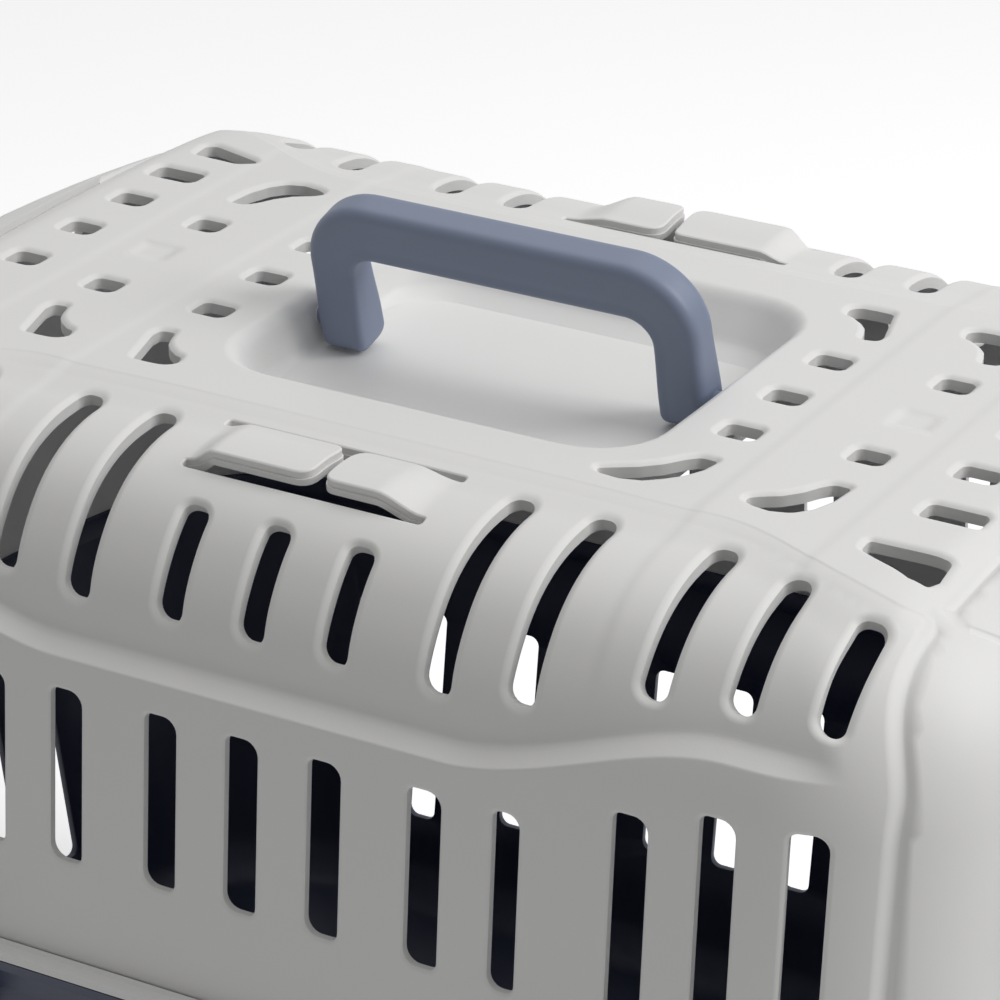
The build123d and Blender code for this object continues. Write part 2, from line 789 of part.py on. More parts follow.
def handle():
    """Bail handle: a rounded loop with round feet and a peg out of each."""
    half = handle_length / 2
    outer = Plane.XZ * Pos(0, handle_height / 2) * Rectangle(handle_length, handle_height)
    outer = fillet(outer.vertices().sort_by(Axis.Z)[-2:], handle_corner)
    inner_height = handle_height - grip_height
    inner = Plane.XZ * Pos(0, inner_height / 2) * Rectangle(handle_length - 2 * leg_width, inner_height)
    inner = fillet(inner.vertices().sort_by(Axis.Z)[-2:], handle_inner_corner)
    loop = extrude(outer - inner, amount=handle_thickness / 2, both=True)
    rims = loop.faces().sort_by(Axis.Y)
    low = loop.edges().group_by(Axis.Z)[0]
    loop = fillet([edge for face in (rims[0], rims[-1]) for edge in face.edges() if edge not in low], handle_edge)
    for end in (-1, 1):
        start = (end * half, 0, 0)
        foot = rod(handle_foot_radius, start, (end * (half - leg_width), 0, 0))
        foot = fillet(foot.edges().filter_by(GeomType.CIRCLE), foot_edge)
        loop += [foot, rod(peg_radius, (end * (half - foot_edge), 0, 0), (end * (half + peg_length), 0, 0))]
    return Pos(0, 0, pivot_height) * Rot(handle_lean, 0, 0) * loop


def bolt(end):
    """Door bolt with its thumb grip, drawn back; end is +1 for the upper one and -1 for the lower."""
    edge = door_high if end > 0 else door_low
    tip = edge - end * bolt_tip_drop
    tail = tip - end * bolt_length
    grip_z = tail + end * grip_place
    low, high = sorted((tip, tail))
    bar = block((bolt_back, bolt_y - bolt_width / 2, low), (bolt_front, bolt_y + bolt_width / 2, high))
    tip_edges = bar.edges().filter_by(Axis.X).group_by(Axis.Z)[-1 if end > 0 else 0]
    bar = chamfer(tip_edges, bolt_tip_chamfer)
    grip_back = door_front + bolt_gap
    neck = block(
        (bolt_front - bolt_gap, bolt_y - neck_width / 2, grip_z - neck_tall / 2),
        (grip_back + bolt_gap, bolt_y + neck_width / 2, grip_z + neck_tall / 2),
    )
    grip = block(
        (grip_back, bolt_y - grip_width / 2, grip_z - grip_tall / 2),
        (door_front + grip_reach, bolt_y + grip_width / 2, grip_z + grip_tall / 2),
    )
    grip = fillet(grip.faces().sort_by(Axis.X)[-1].edges(), grip_edge)
    return bar + neck + grip


def bolt_room(end):
    """Channel and grip window that a bolt needs in the door."""
    edge = door_high if end > 0 else door_low
    tail = edge - end * (bolt_tip_drop + bolt_length + bolt_gap)
    grip_z = tail + end * (bolt_gap + grip_place + bolt_travel / 2)
    low, high = sorted((edge + end * door_gap, tail))
    channel = block(
        (door_back - door_gap, bolt_y - bolt_width / 2 - bolt_gap, low),
        (channel_front, bolt_y + bolt_width / 2 + bolt_gap, high),
    )
    half_tall = (neck_tall + bolt_travel) / 2 + bolt_gap
    window = block(
        (door_back, bolt_y - neck_width / 2 - bolt_gap, grip_z - half_tall),
        (door_front + door_gap, bolt_y + neck_width / 2 + bolt_gap, grip_z + half_tall),
    )
    return [channel, window]


def door():
    """Lattice door with its hinge barrel and pegs, and channels for the two bolts."""
    plate = block((door_back, hinge_y, door_low), (door_front, door_edge_y, door_high))
    free = plate.edges().filter_by(Axis.X).group_by(Axis.Y)[-1]
    plate = fillet(free, doorway_corner - door_gap)
    left = hinge_y - barrel_radius + hinge_stile
    right = door_edge_y - bolt_stile
    low = door_low + rail_height
    high = door_high - rail_height
    width = (right - left - (lattice_columns - 1) * lattice_bar) / lattice_columns
    height = (high - low - (lattice_rows - 1) * lattice_bar) / lattice_rows
    windows = []
    for column in range(lattice_columns):
        for row in range(lattice_rows):
            y = left + width / 2 + column * (width + lattice_bar)
            z = low + height / 2 + row * (height + lattice_bar)
            plane = Plane(origin=(door_back, y, z), x_dir=(0, 1, 0), z_dir=(1, 0, 0))
            windows.append(rounded_prism(plane, width, height, lattice_corner, door_thickness))
    axis = (door_centre_x, hinge_y)
    barrel = rod(barrel_radius, (*axis, door_low + barrel_inset), (*axis, door_high - barrel_inset))
    pegs = rod(hinge_peg_radius, (*axis, door_low - hinge_peg_length), (*axis, door_high + hinge_peg_length))
    return plate - windows + barrel + pegs - (bolt_room(1) + bolt_room(-1))


def latch_cover():
    """Strip behind the door that closes both bolt channels."""
    half = bolt_width / 2 + bolt_gap + cover_overlap
    return block(
        (door_back - cover_thickness, bolt_y - half, door_low + cover_end_inset),
        (door_back, bolt_y + half, door_high - cover_end_inset),
    )


def one_solid(shape):
    """The shape as a single solid."""
    solids = shape.solids()
    assert len(solids) == 1, f"{len(solids)} solids"
    return solids[0]


pieces = {
    "top_shell": top_shell(),
    "base_tub": base_tub(),
    "handle": handle(),
    "door": door(),
    "latch_cover": latch_cover(),
    "latch_bolt_upper": bolt(1),
    "latch_bolt_lower": bolt(-1),
}
pieces.update(at_clips(clip()))

for name, piece in pieces.items():
    export_step(one_solid(piece), f"parts/{name}.step")
    print(name)
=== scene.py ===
# %% [markdown]
# # A pet carrier, dressed for the camera
# The carrier is a pale grey top moulding clipped to a dark navy tub, with a lattice door at one end and
# a slate blue handle that folds into the roof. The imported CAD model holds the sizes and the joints.
# This script gives it the looks: the soft edges of moulded plastic, its finishes, the light and the camera.

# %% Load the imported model
import math

import bpy
import numpy as np
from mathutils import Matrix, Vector
from mathutils.geometry import delaunay_2d_cdt


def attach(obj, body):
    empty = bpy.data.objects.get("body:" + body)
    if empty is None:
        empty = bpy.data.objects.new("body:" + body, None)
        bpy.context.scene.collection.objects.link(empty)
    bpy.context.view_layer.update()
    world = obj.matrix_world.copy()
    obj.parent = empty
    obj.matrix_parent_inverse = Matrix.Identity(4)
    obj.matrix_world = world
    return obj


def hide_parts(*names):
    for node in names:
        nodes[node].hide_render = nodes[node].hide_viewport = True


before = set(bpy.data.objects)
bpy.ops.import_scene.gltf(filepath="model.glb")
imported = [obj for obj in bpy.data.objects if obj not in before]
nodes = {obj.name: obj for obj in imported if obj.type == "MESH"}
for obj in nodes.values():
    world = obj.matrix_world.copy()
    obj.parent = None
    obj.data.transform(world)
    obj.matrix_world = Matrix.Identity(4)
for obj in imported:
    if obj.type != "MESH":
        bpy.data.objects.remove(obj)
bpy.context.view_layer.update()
MM = 0.001
print("nodes:", len(nodes))

# %% [markdown]
# ## Writing a finish as a sum
# A shader is a graph of small nodes, and a long graph is hard to read. Here a socket is wrapped in a class
# with Python's operators, so that a sum of two masks adds its Math nodes by itself. Colours and normals
# don't go through Math nodes, which would turn them grey, so they are linked as they are.

# %% A socket with Python's operators
class Signal:
    """One value that varies over a surface."""

    def __init__(self, graph, socket):
        self.graph = graph
        self.socket = socket

    def maths(self, operation, other):
        return self.graph.node("ShaderNodeMath", {0: self, 1: other}, operation=operation)

    def __add__(self, other):
        return self.maths("ADD", other)

    def __mul__(self, other):
        return self.maths("MULTIPLY", other)

    __radd__ = __add__
    __rmul__ = __mul__


# %% A graph and its nodes
OBJECT_PLACE, MIXED_COLOUR = 3, 2      # outputs of the Texture Coordinate node and of the Mix node
RAYS_SEEN = (0, 3, 6)                  # outputs of the Light Path node: camera, glossy, transmission


class Graph:
    """The empty node graph of a material or a world, filled node by node."""

    def __init__(self, owner):
        self.owner = owner
        owner.use_nodes = True
        self.tree = owner.node_tree
        self.tree.nodes.clear()

    def node(self, kind, sockets, output=0, **settings):
        """Adds a node, first its settings and then the values or links of its sockets."""
        made = self.tree.nodes.new(kind)
        for key, value in settings.items():
            setattr(made, key, value)
        for key, value in sockets.items():
            if isinstance(value, Signal):
                self.tree.links.new(value.socket, made.inputs[key])
            else:
                made.inputs[key].default_value = value
        return Signal(self, made.outputs[output])

    def noise(self, scale, detail, roughness=0.5):
        """Cloudy noise from 0 to 1 with features about 1 / scale metres wide."""
        place = self.node("ShaderNodeTexCoord", {}, OBJECT_PLACE)
        sockets = {"Vector": place, "Scale": scale, "Detail": detail, "Roughness": roughness}
        return self.node("ShaderNodeTexNoise", sockets)

    def bump(self, height, strength, distance, under=None):
        """Normal tilted by a height, on top of the bump given as under."""
        sockets = {"Height": height, "Strength": strength, "Distance": distance}
        if under is not None:
            sockets["Normal"] = under
        return self.node("ShaderNodeBump", sockets)

    def seen(self):
        """1 for rays that end in the picture, 0 for those that only bring light to the object."""
        return sum(self.node("ShaderNodeLightPath", {}, output) for output in RAYS_SEEN)

    def close(self, shader, kind="ShaderNodeOutputMaterial"):
        """Sends the finished shader to the output."""
        last = self.tree.nodes.new(kind)
        self.tree.links.new(shader.socket, last.inputs["Surface"])
        return self.owner


# %% [markdown]
# ## Moulded plastic
# Every piece is injection-moulded plastic straight from a finely textured steel tool. Up close it has
# a grain finer than a third of a millimetre, which makes highlights broad and soft. A slow waviness, from
# the plastic shrinking as it cools, keeps large panels from looking like a computer's plane. One recipe
# serves all pieces, because they come from the same kind of tool.

# %% Recipe for moulded plastic
CLOUD, WAVE, SPECK, GRAIN = 14.0, 22.0, 900.0, 2600.0     # how fine each noise is, per metre
WAVE_DEPTH = 0.0012                                       # metres
PLASTIC_IOR = 1.49


def moulded(name, colour, gloss_spread, grain_depth, variation):
    """Plastic with a tool grain. gloss_spread is the lowest and highest roughness."""
    finish = Graph(bpy.data.materials.new(name))
    cloud = finish.noise(CLOUD, 3.0)
    speck = finish.noise(SPECK, 1.0)
    grain = finish.noise(GRAIN, 2.0, 0.6)
    darker = [channel * (1 - variation) for channel in colour]
    paler = [min(1.0, channel * (1 + variation)) for channel in colour]
    blend = {0: cloud * 0.7 + speck * 0.3, 6: (*darker, 1), 7: (*paler, 1)}
    tone = finish.node("ShaderNodeMix", blend, MIXED_COLOUR, data_type="RGBA")
    low, high = gloss_spread
    rough = low + (high - low) * (cloud * 0.5 + grain * 0.5)
    slow = finish.bump(finish.noise(WAVE, 1.0), 0.25, WAVE_DEPTH)
    fine = finish.bump(grain, 0.35, grain_depth, slow)
    sockets = {"Base Color": tone, "Roughness": rough, "IOR": PLASTIC_IOR, "Normal": fine}
    return finish.close(finish.node("ShaderNodeBsdfPrincipled", sockets))


shell_grey = moulded("shell_grey_plastic", (0.76, 0.755, 0.745), (0.42, 0.56), 0.00006, 0.012)
fitting_grey = moulded("door_grey_plastic", (0.74, 0.735, 0.725), (0.40, 0.54), 0.00006, 0.012)
tub_navy = moulded("tub_navy_plastic", (0.022, 0.028, 0.062), (0.36, 0.50), 0.00006, 0.05)
slate_blue = moulded("handle_slate_plastic", (0.195, 0.232, 0.325), (0.40, 0.52), 0.00009, 0.02)
print("finishes:", [finish.name for finish in bpy.data.materials])

# %% [markdown]
# ## The top shell as one flowing surface
# The shell is a single moulding. Its walls lean in, roll over a wide shoulder into the roof, and the long
# sides are drawn in above a wavy ledge. A CAD tessellation can't carry the soft lead-ins round its slots,
# so the shell is built anew: a formula gives the skin from the distance round it and the distance down it,
# and a triangulation fills the skin between the holes. Each vertex gets its normal from the formula too,
# which keeps the broad reflections clean.

# %% Small helpers for the formulas
def smooth(low, high, value):
    """0 below low, 1 above high and an even swing between."""
    share = np.clip((value - low) / (high - low), 0.0, 1.0)
    return share * share * (3 - 2 * share)


def soft_min(one, other, radius):
    """The smaller of two values, with the corner between them rounded."""
    near = np.maximum(radius - np.abs(one - other), 0.0) / radius
    return np.minimum(one, other) - near * near * radius / 4


# %% Sizes of the shell, in millimetres
PARTING = 153.0             # height of the joint with the tub
ROOF_TOP = 310.0            # height of the raised panel of the roof
SHOULDER_TOP = 307.2        # height of the roof beside the raised panel
WALL_TOP = 257.0            # height where the walls meet the shoulders
SHOULDER_RADIUS = 54.0
SIDE_DRAFT, END_DRAFT = math.radians(4.2), math.radians(2.6)
HALF_WIDTH, HALF_LENGTH, END_BOW, CORNER = 163.5, 239.0, 33.0, 60.0
BOW_RADIUS = 421.5          # radius of the bowed ends, at the joint
CORNER_START, END_START, RIM = 163.9, 240.8, 362.9   # distances round the outline from the middle of a side
FLAT, ARC_END, FOOT = 8.0, 88.9, 193.3               # distances down the skin: flat, shoulder, wall
WAIST_HALF_WIDTH, WAIST_DRAFT, WAIST_RADIUS = 155.0, math.radians(3.1), 45.0
LEDGE_DEEP, LEDGE_HOLLOW, LEDGE_LIP = 5.5, 0.35, 0.07     # height, then shares of it: soft start, round lip
WALL, WALL_HIGH = 3.0, 4.6  # thickness of the walls low down, and of the shoulders and the roof


# %% Plan of the body
def plan_at(height):
    """Half width; radius and centre of the bowed end; centre of the corner; angle where these two meet."""
    half_w = HALF_WIDTH - (height - PARTING) * math.tan(SIDE_DRAFT)
    half_l = HALF_LENGTH - (height - PARTING) * math.tan(END_DRAFT)
    bow = (half_w**2 + END_BOW**2) / (2 * END_BOW)
    bow_x = half_l - bow
    corner_y = half_w - CORNER
    corner_x = bow_x + np.sqrt((bow - CORNER) ** 2 - corner_y**2)
    return half_w, bow, bow_x, corner_x, corner_y, np.arctan2(corner_y, corner_x - bow_x)


def outline(height, inset, around):
    """Plan of the body at a height, moved inward by inset: straight side, round corner, bowed end."""
    _, bow, bow_x, corner_x, corner_y, meet = plan_at(height)
    turn = np.clip((around - CORNER_START) / (END_START - CORNER_START), 0, 1)
    angle = math.pi / 2 - turn * (math.pi / 2 - meet)
    x = corner_x * np.clip(around / CORNER_START, None, 1) + (CORNER - inset) * np.cos(angle)
    y = corner_y + (CORNER - inset) * np.sin(angle)
    end_angle = meet * (1 - (around - END_START) / (RIM - END_START))
    at_end = around > END_START
    x = np.where(at_end, bow_x + (bow - inset) * np.cos(end_angle), x)
    y = np.where(at_end, (bow - inset) * np.sin(end_angle), y)
    return x, y


# %% Waist, ledge and skin
def waist(height):
    """Half width of the drawn-in middle at a height."""
    centre_z = SHOULDER_TOP - WAIST_RADIUS
    slope = math.tan(WAIST_DRAFT)
    centre_y = WAIST_HALF_WIDTH - (centre_z - PARTING) * slope - WAIST_RADIUS / math.cos(WAIST_DRAFT)
    rise = np.clip(height - centre_z, 0, WAIST_RADIUS)
    arc = centre_y + np.sqrt(WAIST_RADIUS**2 - rise**2)
    wall = WAIST_HALF_WIDTH - (height - PARTING) * slope
    return np.where(height > centre_z + WAIST_RADIUS * math.sin(WAIST_DRAFT), arc, wall)


def ledge_height(x):
    """Lower edge of the wavy ledge."""
    return 252.4 + 20.6 * smooth(64, 150, np.abs(x)) + smooth(178, 192, np.abs(x))


def ledge_step(share):
    """How far the ledge has stepped out: soft where it starts, straight, and a small round at its lip."""
    hollow = LEDGE_HOLLOW
    step = np.where(share < hollow, share**2 / (2 * hollow), share - hollow / 2) / (1 - hollow / 2)
    return soft_min(np.where(share < 0, 0, step), 1.0, LEDGE_LIP)


def shell_quarter(around, down):
    """Point of the shell's skin in the quarter where x and y are positive."""
    draft = SIDE_DRAFT + (END_DRAFT - SIDE_DRAFT) * smooth(CORNER_START, END_START, around)
    arc = np.clip((down - FLAT) / (ARC_END - FLAT), 0, 1)
    angle = math.pi / 2 - arc * (math.pi / 2 - draft)
    height = SHOULDER_TOP - SHOULDER_RADIUS * (1 - np.sin(angle))
    inset = SHOULDER_RADIUS * (1 - np.cos(angle - draft)) / np.cos(draft) + np.clip(FLAT - down, 0, None)
    below = np.clip((down - ARC_END) / (FOOT - ARC_END), 0, None)
    height = height - (SHOULDER_TOP - SHOULDER_RADIUS * (1 - np.sin(draft)) - PARTING) * below
    x, full = outline(height, inset, around)
    narrow = soft_min(full, waist(height), 1.2)
    step = ledge_step((ledge_height(x) + LEDGE_DEEP - height) / LEDGE_DEEP)
    return x, narrow + (full - narrow) * step, height


def side_skin(side):
    """Skin of one long side as a function of signed distance from its middle and distance down."""
    def skin(across, down):
        x, y, z = shell_quarter(np.abs(across), down)
        return np.stack([np.sign(across) * x, side * y, z], -1)
    return skin


def end_skin(end):
    """Skin of one end, from the middle of the end round both corners."""
    def skin(across, down):
        x, y, z = shell_quarter(RIM - np.abs(across), down)
        return np.stack([end * x, np.sign(across) * y, z], -1)
    return skin


def roof_skin(x, y):
    """Skin of the roof as a height over the plan."""
    half_w, bow, bow_x, corner_x, corner_y, meet = plan_at(SHOULDER_TOP)
    ax, ay = np.abs(x), np.abs(y)
    angle = np.arctan2(ay - corner_y, ax - corner_x)
    turn = np.clip((math.pi / 2 - angle) / (math.pi / 2 - meet), 0, 1)
    draft = SIDE_DRAFT + (END_DRAFT - SIDE_DRAFT) * smooth(0, 1, turn)
    tuck = SHOULDER_RADIUS * (1 - np.sin(draft)) / np.cos(draft)
    reach = np.hypot(ax - corner_x, ay - corner_y) - (CORNER - tuck)
    reach = np.where((ax < corner_x) | (angle > math.pi / 2), ay - (half_w - tuck), reach)
    at_end = np.arctan2(ay, ax - bow_x) < meet
    reach = np.where(at_end, np.hypot(ax - bow_x, ay) - (bow - tuck), reach)
    fall = SHOULDER_RADIUS - np.sqrt(SHOULDER_RADIUS**2 - np.clip(reach, 0, 40) ** 2)
    return np.stack([x, y, SHOULDER_TOP - fall], -1)


# %% [markdown]
# ## Relief: the raised panel and the grooves
# The roof panel stands a little above the shoulders and its edge fades into them. Shallow grooves divide
# the roof, the hoops and the ends. They stop short of each other, so that a smooth pad is left where four
# of them would cross. All of this is a height added along the skin's normal.

# %% Relief of the shell
CROSSING = np.array([188.6, 99.7, 302.0])      # middle of the smooth pad
PANEL_RISE = 2.8
HOOP_GROOVE = (4.2, 2.0, 1.25)                 # widths of the near and the far flank, and depth
END_GROOVE = (2.4, 2.4, 0.8)
CREASE = (1.6, 4.5, 0.34)


def panel_edge(x):
    """Half width of the raised panel, which flares towards the ends."""
    x = np.abs(x)
    return 84.8 + 1.2 * smooth(60, 110, x) + 21.3 * smooth(112, 178, x) - 3.5 * smooth(177, 186, x)


def hoop_place(height):
    """Distance of the hoop groove from the middle, at a height."""
    return 188.1 + 9.1 * (1 - smooth(266.0, 302.0, height))


def end_groove_place(point):
    """How far a point lies inside the groove that runs from the corner down an end."""
    return CROSSING[1] - 0.636 * (np.abs(point[..., 0]) - CROSSING[0]) - np.abs(point[..., 1])


def wall_depth(height):
    """Thickness of the shell at a height."""
    return WALL + (WALL_HIGH - WALL) * smooth(250.0, 285.0, height)


def groove(distance, near_flank, far_flank, depth):
    """Section of a groove with a wide and a steep flank, zero beyond them."""
    near = smooth(-near_flank, 0, distance)
    far = 1 - smooth(0, far_flank, distance)
    return -depth * np.where(distance < 0, near, far)


def pad_edge(x, y):
    """0 outside the two blind vents of the roof, rising to 1 on their floors."""
    reach = np.maximum(np.abs(np.abs(x) - 132.5) - 6.0, np.abs(y) - 5.5)
    return 1 - smooth(-1.0, 1.2, reach)


TONGUE_MIDDLE, TONGUE_RISE, TONGUE_TILT, TONGUE_HALF = 107.0, 3.9, 0.16, 10.4
WINDOW_SHIFT, WINDOW_HALF, WINDOW_BAND = 2.6, 40.0, 13.3


def tongue_lift(x, y):
    """Height of the belt tongues over the shoulder: a longer and a shorter ramp with a plateau between."""
    along = WINDOW_SHIFT - np.sign(y) * x
    ramps = smooth(-39.0, -29.5, along) * (1 - smooth(24.5, 39.0, along))
    outward = np.abs(y) - TONGUE_MIDDLE
    within = np.abs(outward) < (TONGUE_HALF + WINDOW_BAND) / 2
    return (TONGUE_RISE + TONGUE_TILT * outward) * ramps * within


def relief(point):
    """Height of the relief at points of the bare skin."""
    x, y, z = np.abs(point[..., 0]), np.abs(point[..., 1]), point[..., 2]
    away = y - panel_edge(x)
    panel = PANEL_RISE * (1 - 0.4 * smooth(-1.0, 5.5, away) - 0.6 * smooth(1.5, 18.0, away))
    panel = panel - 0.45 * (1 - smooth(103, 108, x)) - 0.4 * (1 - smooth(144.5, 149.5, x))
    panel = panel * (1 - smooth(176, 189, x)) * smooth(270, 290, z)
    clear = smooth(2.2, 4.6, np.linalg.norm(np.stack([x, y, z], -1) - CROSSING, axis=-1))
    crease = groove(away, *CREASE) * (1 - smooth(183.0, 185.5, x)) * smooth(280, 296, z)
    hoop = groove(x - hoop_place(z), *HOOP_GROOVE) * clear
    end_line = groove(end_groove_place(point), *END_GROOVE) * clear
    end_line = end_line * smooth(190.5, 194.0, x) * smooth(268, 288, z)
    blind = -0.5 * pad_edge(x, y)
    tongues = tongue_lift(point[..., 0], point[..., 1]) * (z > 290)
    return panel + crease + hoop + end_line + blind + tongues


# %% [markdown]
# ## Holes with soft lead-ins
# Each slot sits in a shallow dish about two millimetres wide, with a crisp edge at its bottom. A hole is
# drawn on a plane, as the mould's steel pin would be, and its outline and a few wider copies of it are
# carried to the skin. The copies are where the dish deepens, and they keep the triangles tidy.

# %% Outlines of holes
def rounded(half_a, half_b, radii, grow=0.0, spacing=3.0):
    """Rounded rectangle with its own radius at each corner, counter-clockwise from +a +b."""
    arcs = []
    for index, (sign_a, sign_b) in enumerate(((1, 1), (-1, 1), (-1, -1), (1, -1))):
        radius = radii[index]
        centre = np.array([sign_a * (half_a - radius), sign_b * (half_b - radius)])
        turn = np.linspace(index * math.pi / 2, (index + 1) * math.pi / 2, 7)
        arcs.append(centre + (radius + grow) * np.stack([np.cos(turn), np.sin(turn)], -1))
    points = []
    for index, arc in enumerate(arcs):
        after = (index + 1) % 4
        length = 2 * (half_a, half_b)[index % 2] - radii[index] - radii[after]
        shares = np.linspace(0, 1, max(2, int(length / spacing) + 1))[1:-1, None]
        points += [arc, arc[-1] + (arcs[after][0] - arc[-1]) * shares]
    return np.concatenate(points)


def blunt(points, cuts):
    """A closed polygon with its sharp corners rounded, each by its own cut."""
    made = []
    cuts = np.ones(len(points)) * cuts
    for before, corner, after, cut in zip(np.roll(points, 1, 0), points, np.roll(points, -1, 0), cuts):
        one, two = before - corner, after - corner
        long_one, long_two = np.linalg.norm(one), np.linalg.norm(two)
        turn = math.acos(float(np.clip(-(one @ two) / (long_one * long_two), -1, 1)))
        if turn < math.radians(25):
            made.append(corner)
            continue
        start = corner + one / long_one * min(cut, long_one / 2.2)
        end = corner + two / long_two * min(cut, long_two / 2.2)
        for t in np.linspace(0, 1, 6):
            made.append((1 - t) ** 2 * start + 2 * t * (1 - t) * corner + t * t * end)
    return np.array(made)


def divided(points, spacing):
    """A closed loop with extra points, so that no run is longer than spacing."""
    made = []
    for here, after in zip(points, np.roll(points, -1, 0)):
        count = max(1, int(math.ceil(np.linalg.norm(after - here) / spacing)))
        made += [here + (after - here) * k / count for k in range(count)]
    return np.array(made)


def offset_loop(points, grow):
    """A closed loop moved outward, for outlines that aren't rounded rectangles."""
    back, ahead = np.roll(points, 1, 0), np.roll(points, -1, 0)
    along = ahead - back
    along /= np.linalg.norm(along, axis=1)[:, None]
    area = np.sum(points[:, 0] * ahead[:, 1] - points[:, 1] * ahead[:, 0])
    return points + math.copysign(1, area) * np.stack([along[:, 1], -along[:, 0]], -1) * grow


# %% Holes and how they are carried to the skin
FROM_ABOVE = ((1, 0, 0), (0, 1, 0))


class Hole:
    """A hole seen square to a plane with two axes, and the width and depth of the dish around it."""

    def __init__(self, middle, axes, draw, guess, dish, stepped=False):
        self.middle = np.array(middle, float)
        self.axes = np.array(axes, float)
        self.draw = draw
        self.guess = guess
        self.dish = dish
        self.stepped = stepped

    def rings(self):
        """Offset and depth of each copy of the outline."""
        width, depth = self.dish
        if width == 0:
            return [(0.0, 0.0), (0.8, 0.0)]
        return [(share * width, depth * (1 - share) ** 2) for share in (0.0, 0.22, 0.45, 0.7, 1.0)]


def slot(middle, axes, half_a, half_b, radii, guess, dish):
    """A hole with the outline of a rounded rectangle."""
    return Hole(middle, axes, lambda grow: rounded(half_a, half_b, radii, grow), guess, dish)


def carry(skin, hole, grow):
    """The hole's outline, wider by grow, in the skin's own coordinates, found by Newton's method."""
    goal = hole.draw(grow) + hole.axes @ hole.middle
    place = np.array(hole.guess, float) * np.ones((len(goal), 1))
    step, farthest = 0.02, 12.0
    for _ in range(25):
        across, down = place.T
        here = skin(across, down) @ hole.axes.T
        da = (skin(across + step, down) @ hole.axes.T - here) / step
        db = (skin(across, down + step) @ hole.axes.T - here) / step
        miss = goal - here
        bulk = da[:, 0] * db[:, 1] - da[:, 1] * db[:, 0]
        bulk = np.where(np.abs(bulk) < 1e-3, 1e-3, bulk)
        move_a = (miss[:, 0] * db[:, 1] - miss[:, 1] * db[:, 0]) / bulk
        move_b = (da[:, 0] * miss[:, 1] - da[:, 1] * miss[:, 0]) / bulk
        move = np.stack([move_a, move_b], -1)
        length = np.linalg.norm(move, axis=1)[:, None]
        place = place + move * np.minimum(1, farthest / np.maximum(length, 1e-9))
    return place


def inside(points, loop):
    """Which points lie inside a closed loop."""
    x, y = points[:, 0][:, None], points[:, 1][:, None]
    ax, ay = loop[:, 0][None], loop[:, 1][None]
    bx, by = np.roll(loop[:, 0], -1)[None], np.roll(loop[:, 1], -1)[None]
    crosses = (ay > y) != (by > y)
    with np.errstate(divide="ignore", invalid="ignore"):
        cut = ax + (y - ay) * (bx - ax) / (by - ay)
    return (np.sum(crosses & (x < cut), 1) % 2).astype(bool)


# %% Normals and the raised skin
def normal(skin, across, down, step=0.05):
    """Outward unit normal of a skin, from points a small step away."""
    one = skin(across + step, down) - skin(across - step, down)
    two = skin(across, down + step) - skin(across, down - step)
    found = np.cross(one, two)
    found /= np.linalg.norm(found, axis=-1)[..., None]
    outward = skin(across, down) - np.array([0, 0, 200.0])
    return found * np.where(np.sum(found * outward, -1) < 0, -1, 1)[..., None]


def raised(skin):
    """The skin with its relief."""
    def place(across, down):
        point = skin(across, down)
        return point + normal(skin, across, down) * relief(point)[..., None]
    return place


def find(skin, axes, goal, guess):
    """Skin coordinates of the points whose view along two axes is goal."""
    return carry(skin, Hole((0, 0, 0), axes, lambda grow: goal, guess, (0, 0)), 0)


# %% Gathering sheets into one mesh
def add_piece(name, mesh, finish):
    """A mesh as an object of the scene, with one finish."""
    mesh.materials.append(finish)
    piece = bpy.data.objects.new(name, mesh)
    bpy.context.scene.collection.objects.link(piece)
    return piece


def ring_faces(rows, count):
    """Quads between rings of count points each."""
    faces = []
    for start in range(0, (rows - 1) * count, count):
        for i in range(count):
            after = (i + 1) % count
            faces.append((start + i, start + after, start + count + after, start + count + i))
    return faces


def grid_normals(grid):
    """Normals of rings of points, from their neighbours."""
    along = np.roll(grid, -1, 1) - np.roll(grid, 1, 1)
    found = np.cross(np.gradient(grid, axis=0), along)
    return found / np.maximum(np.linalg.norm(found, axis=2), 1e-9)[..., None]


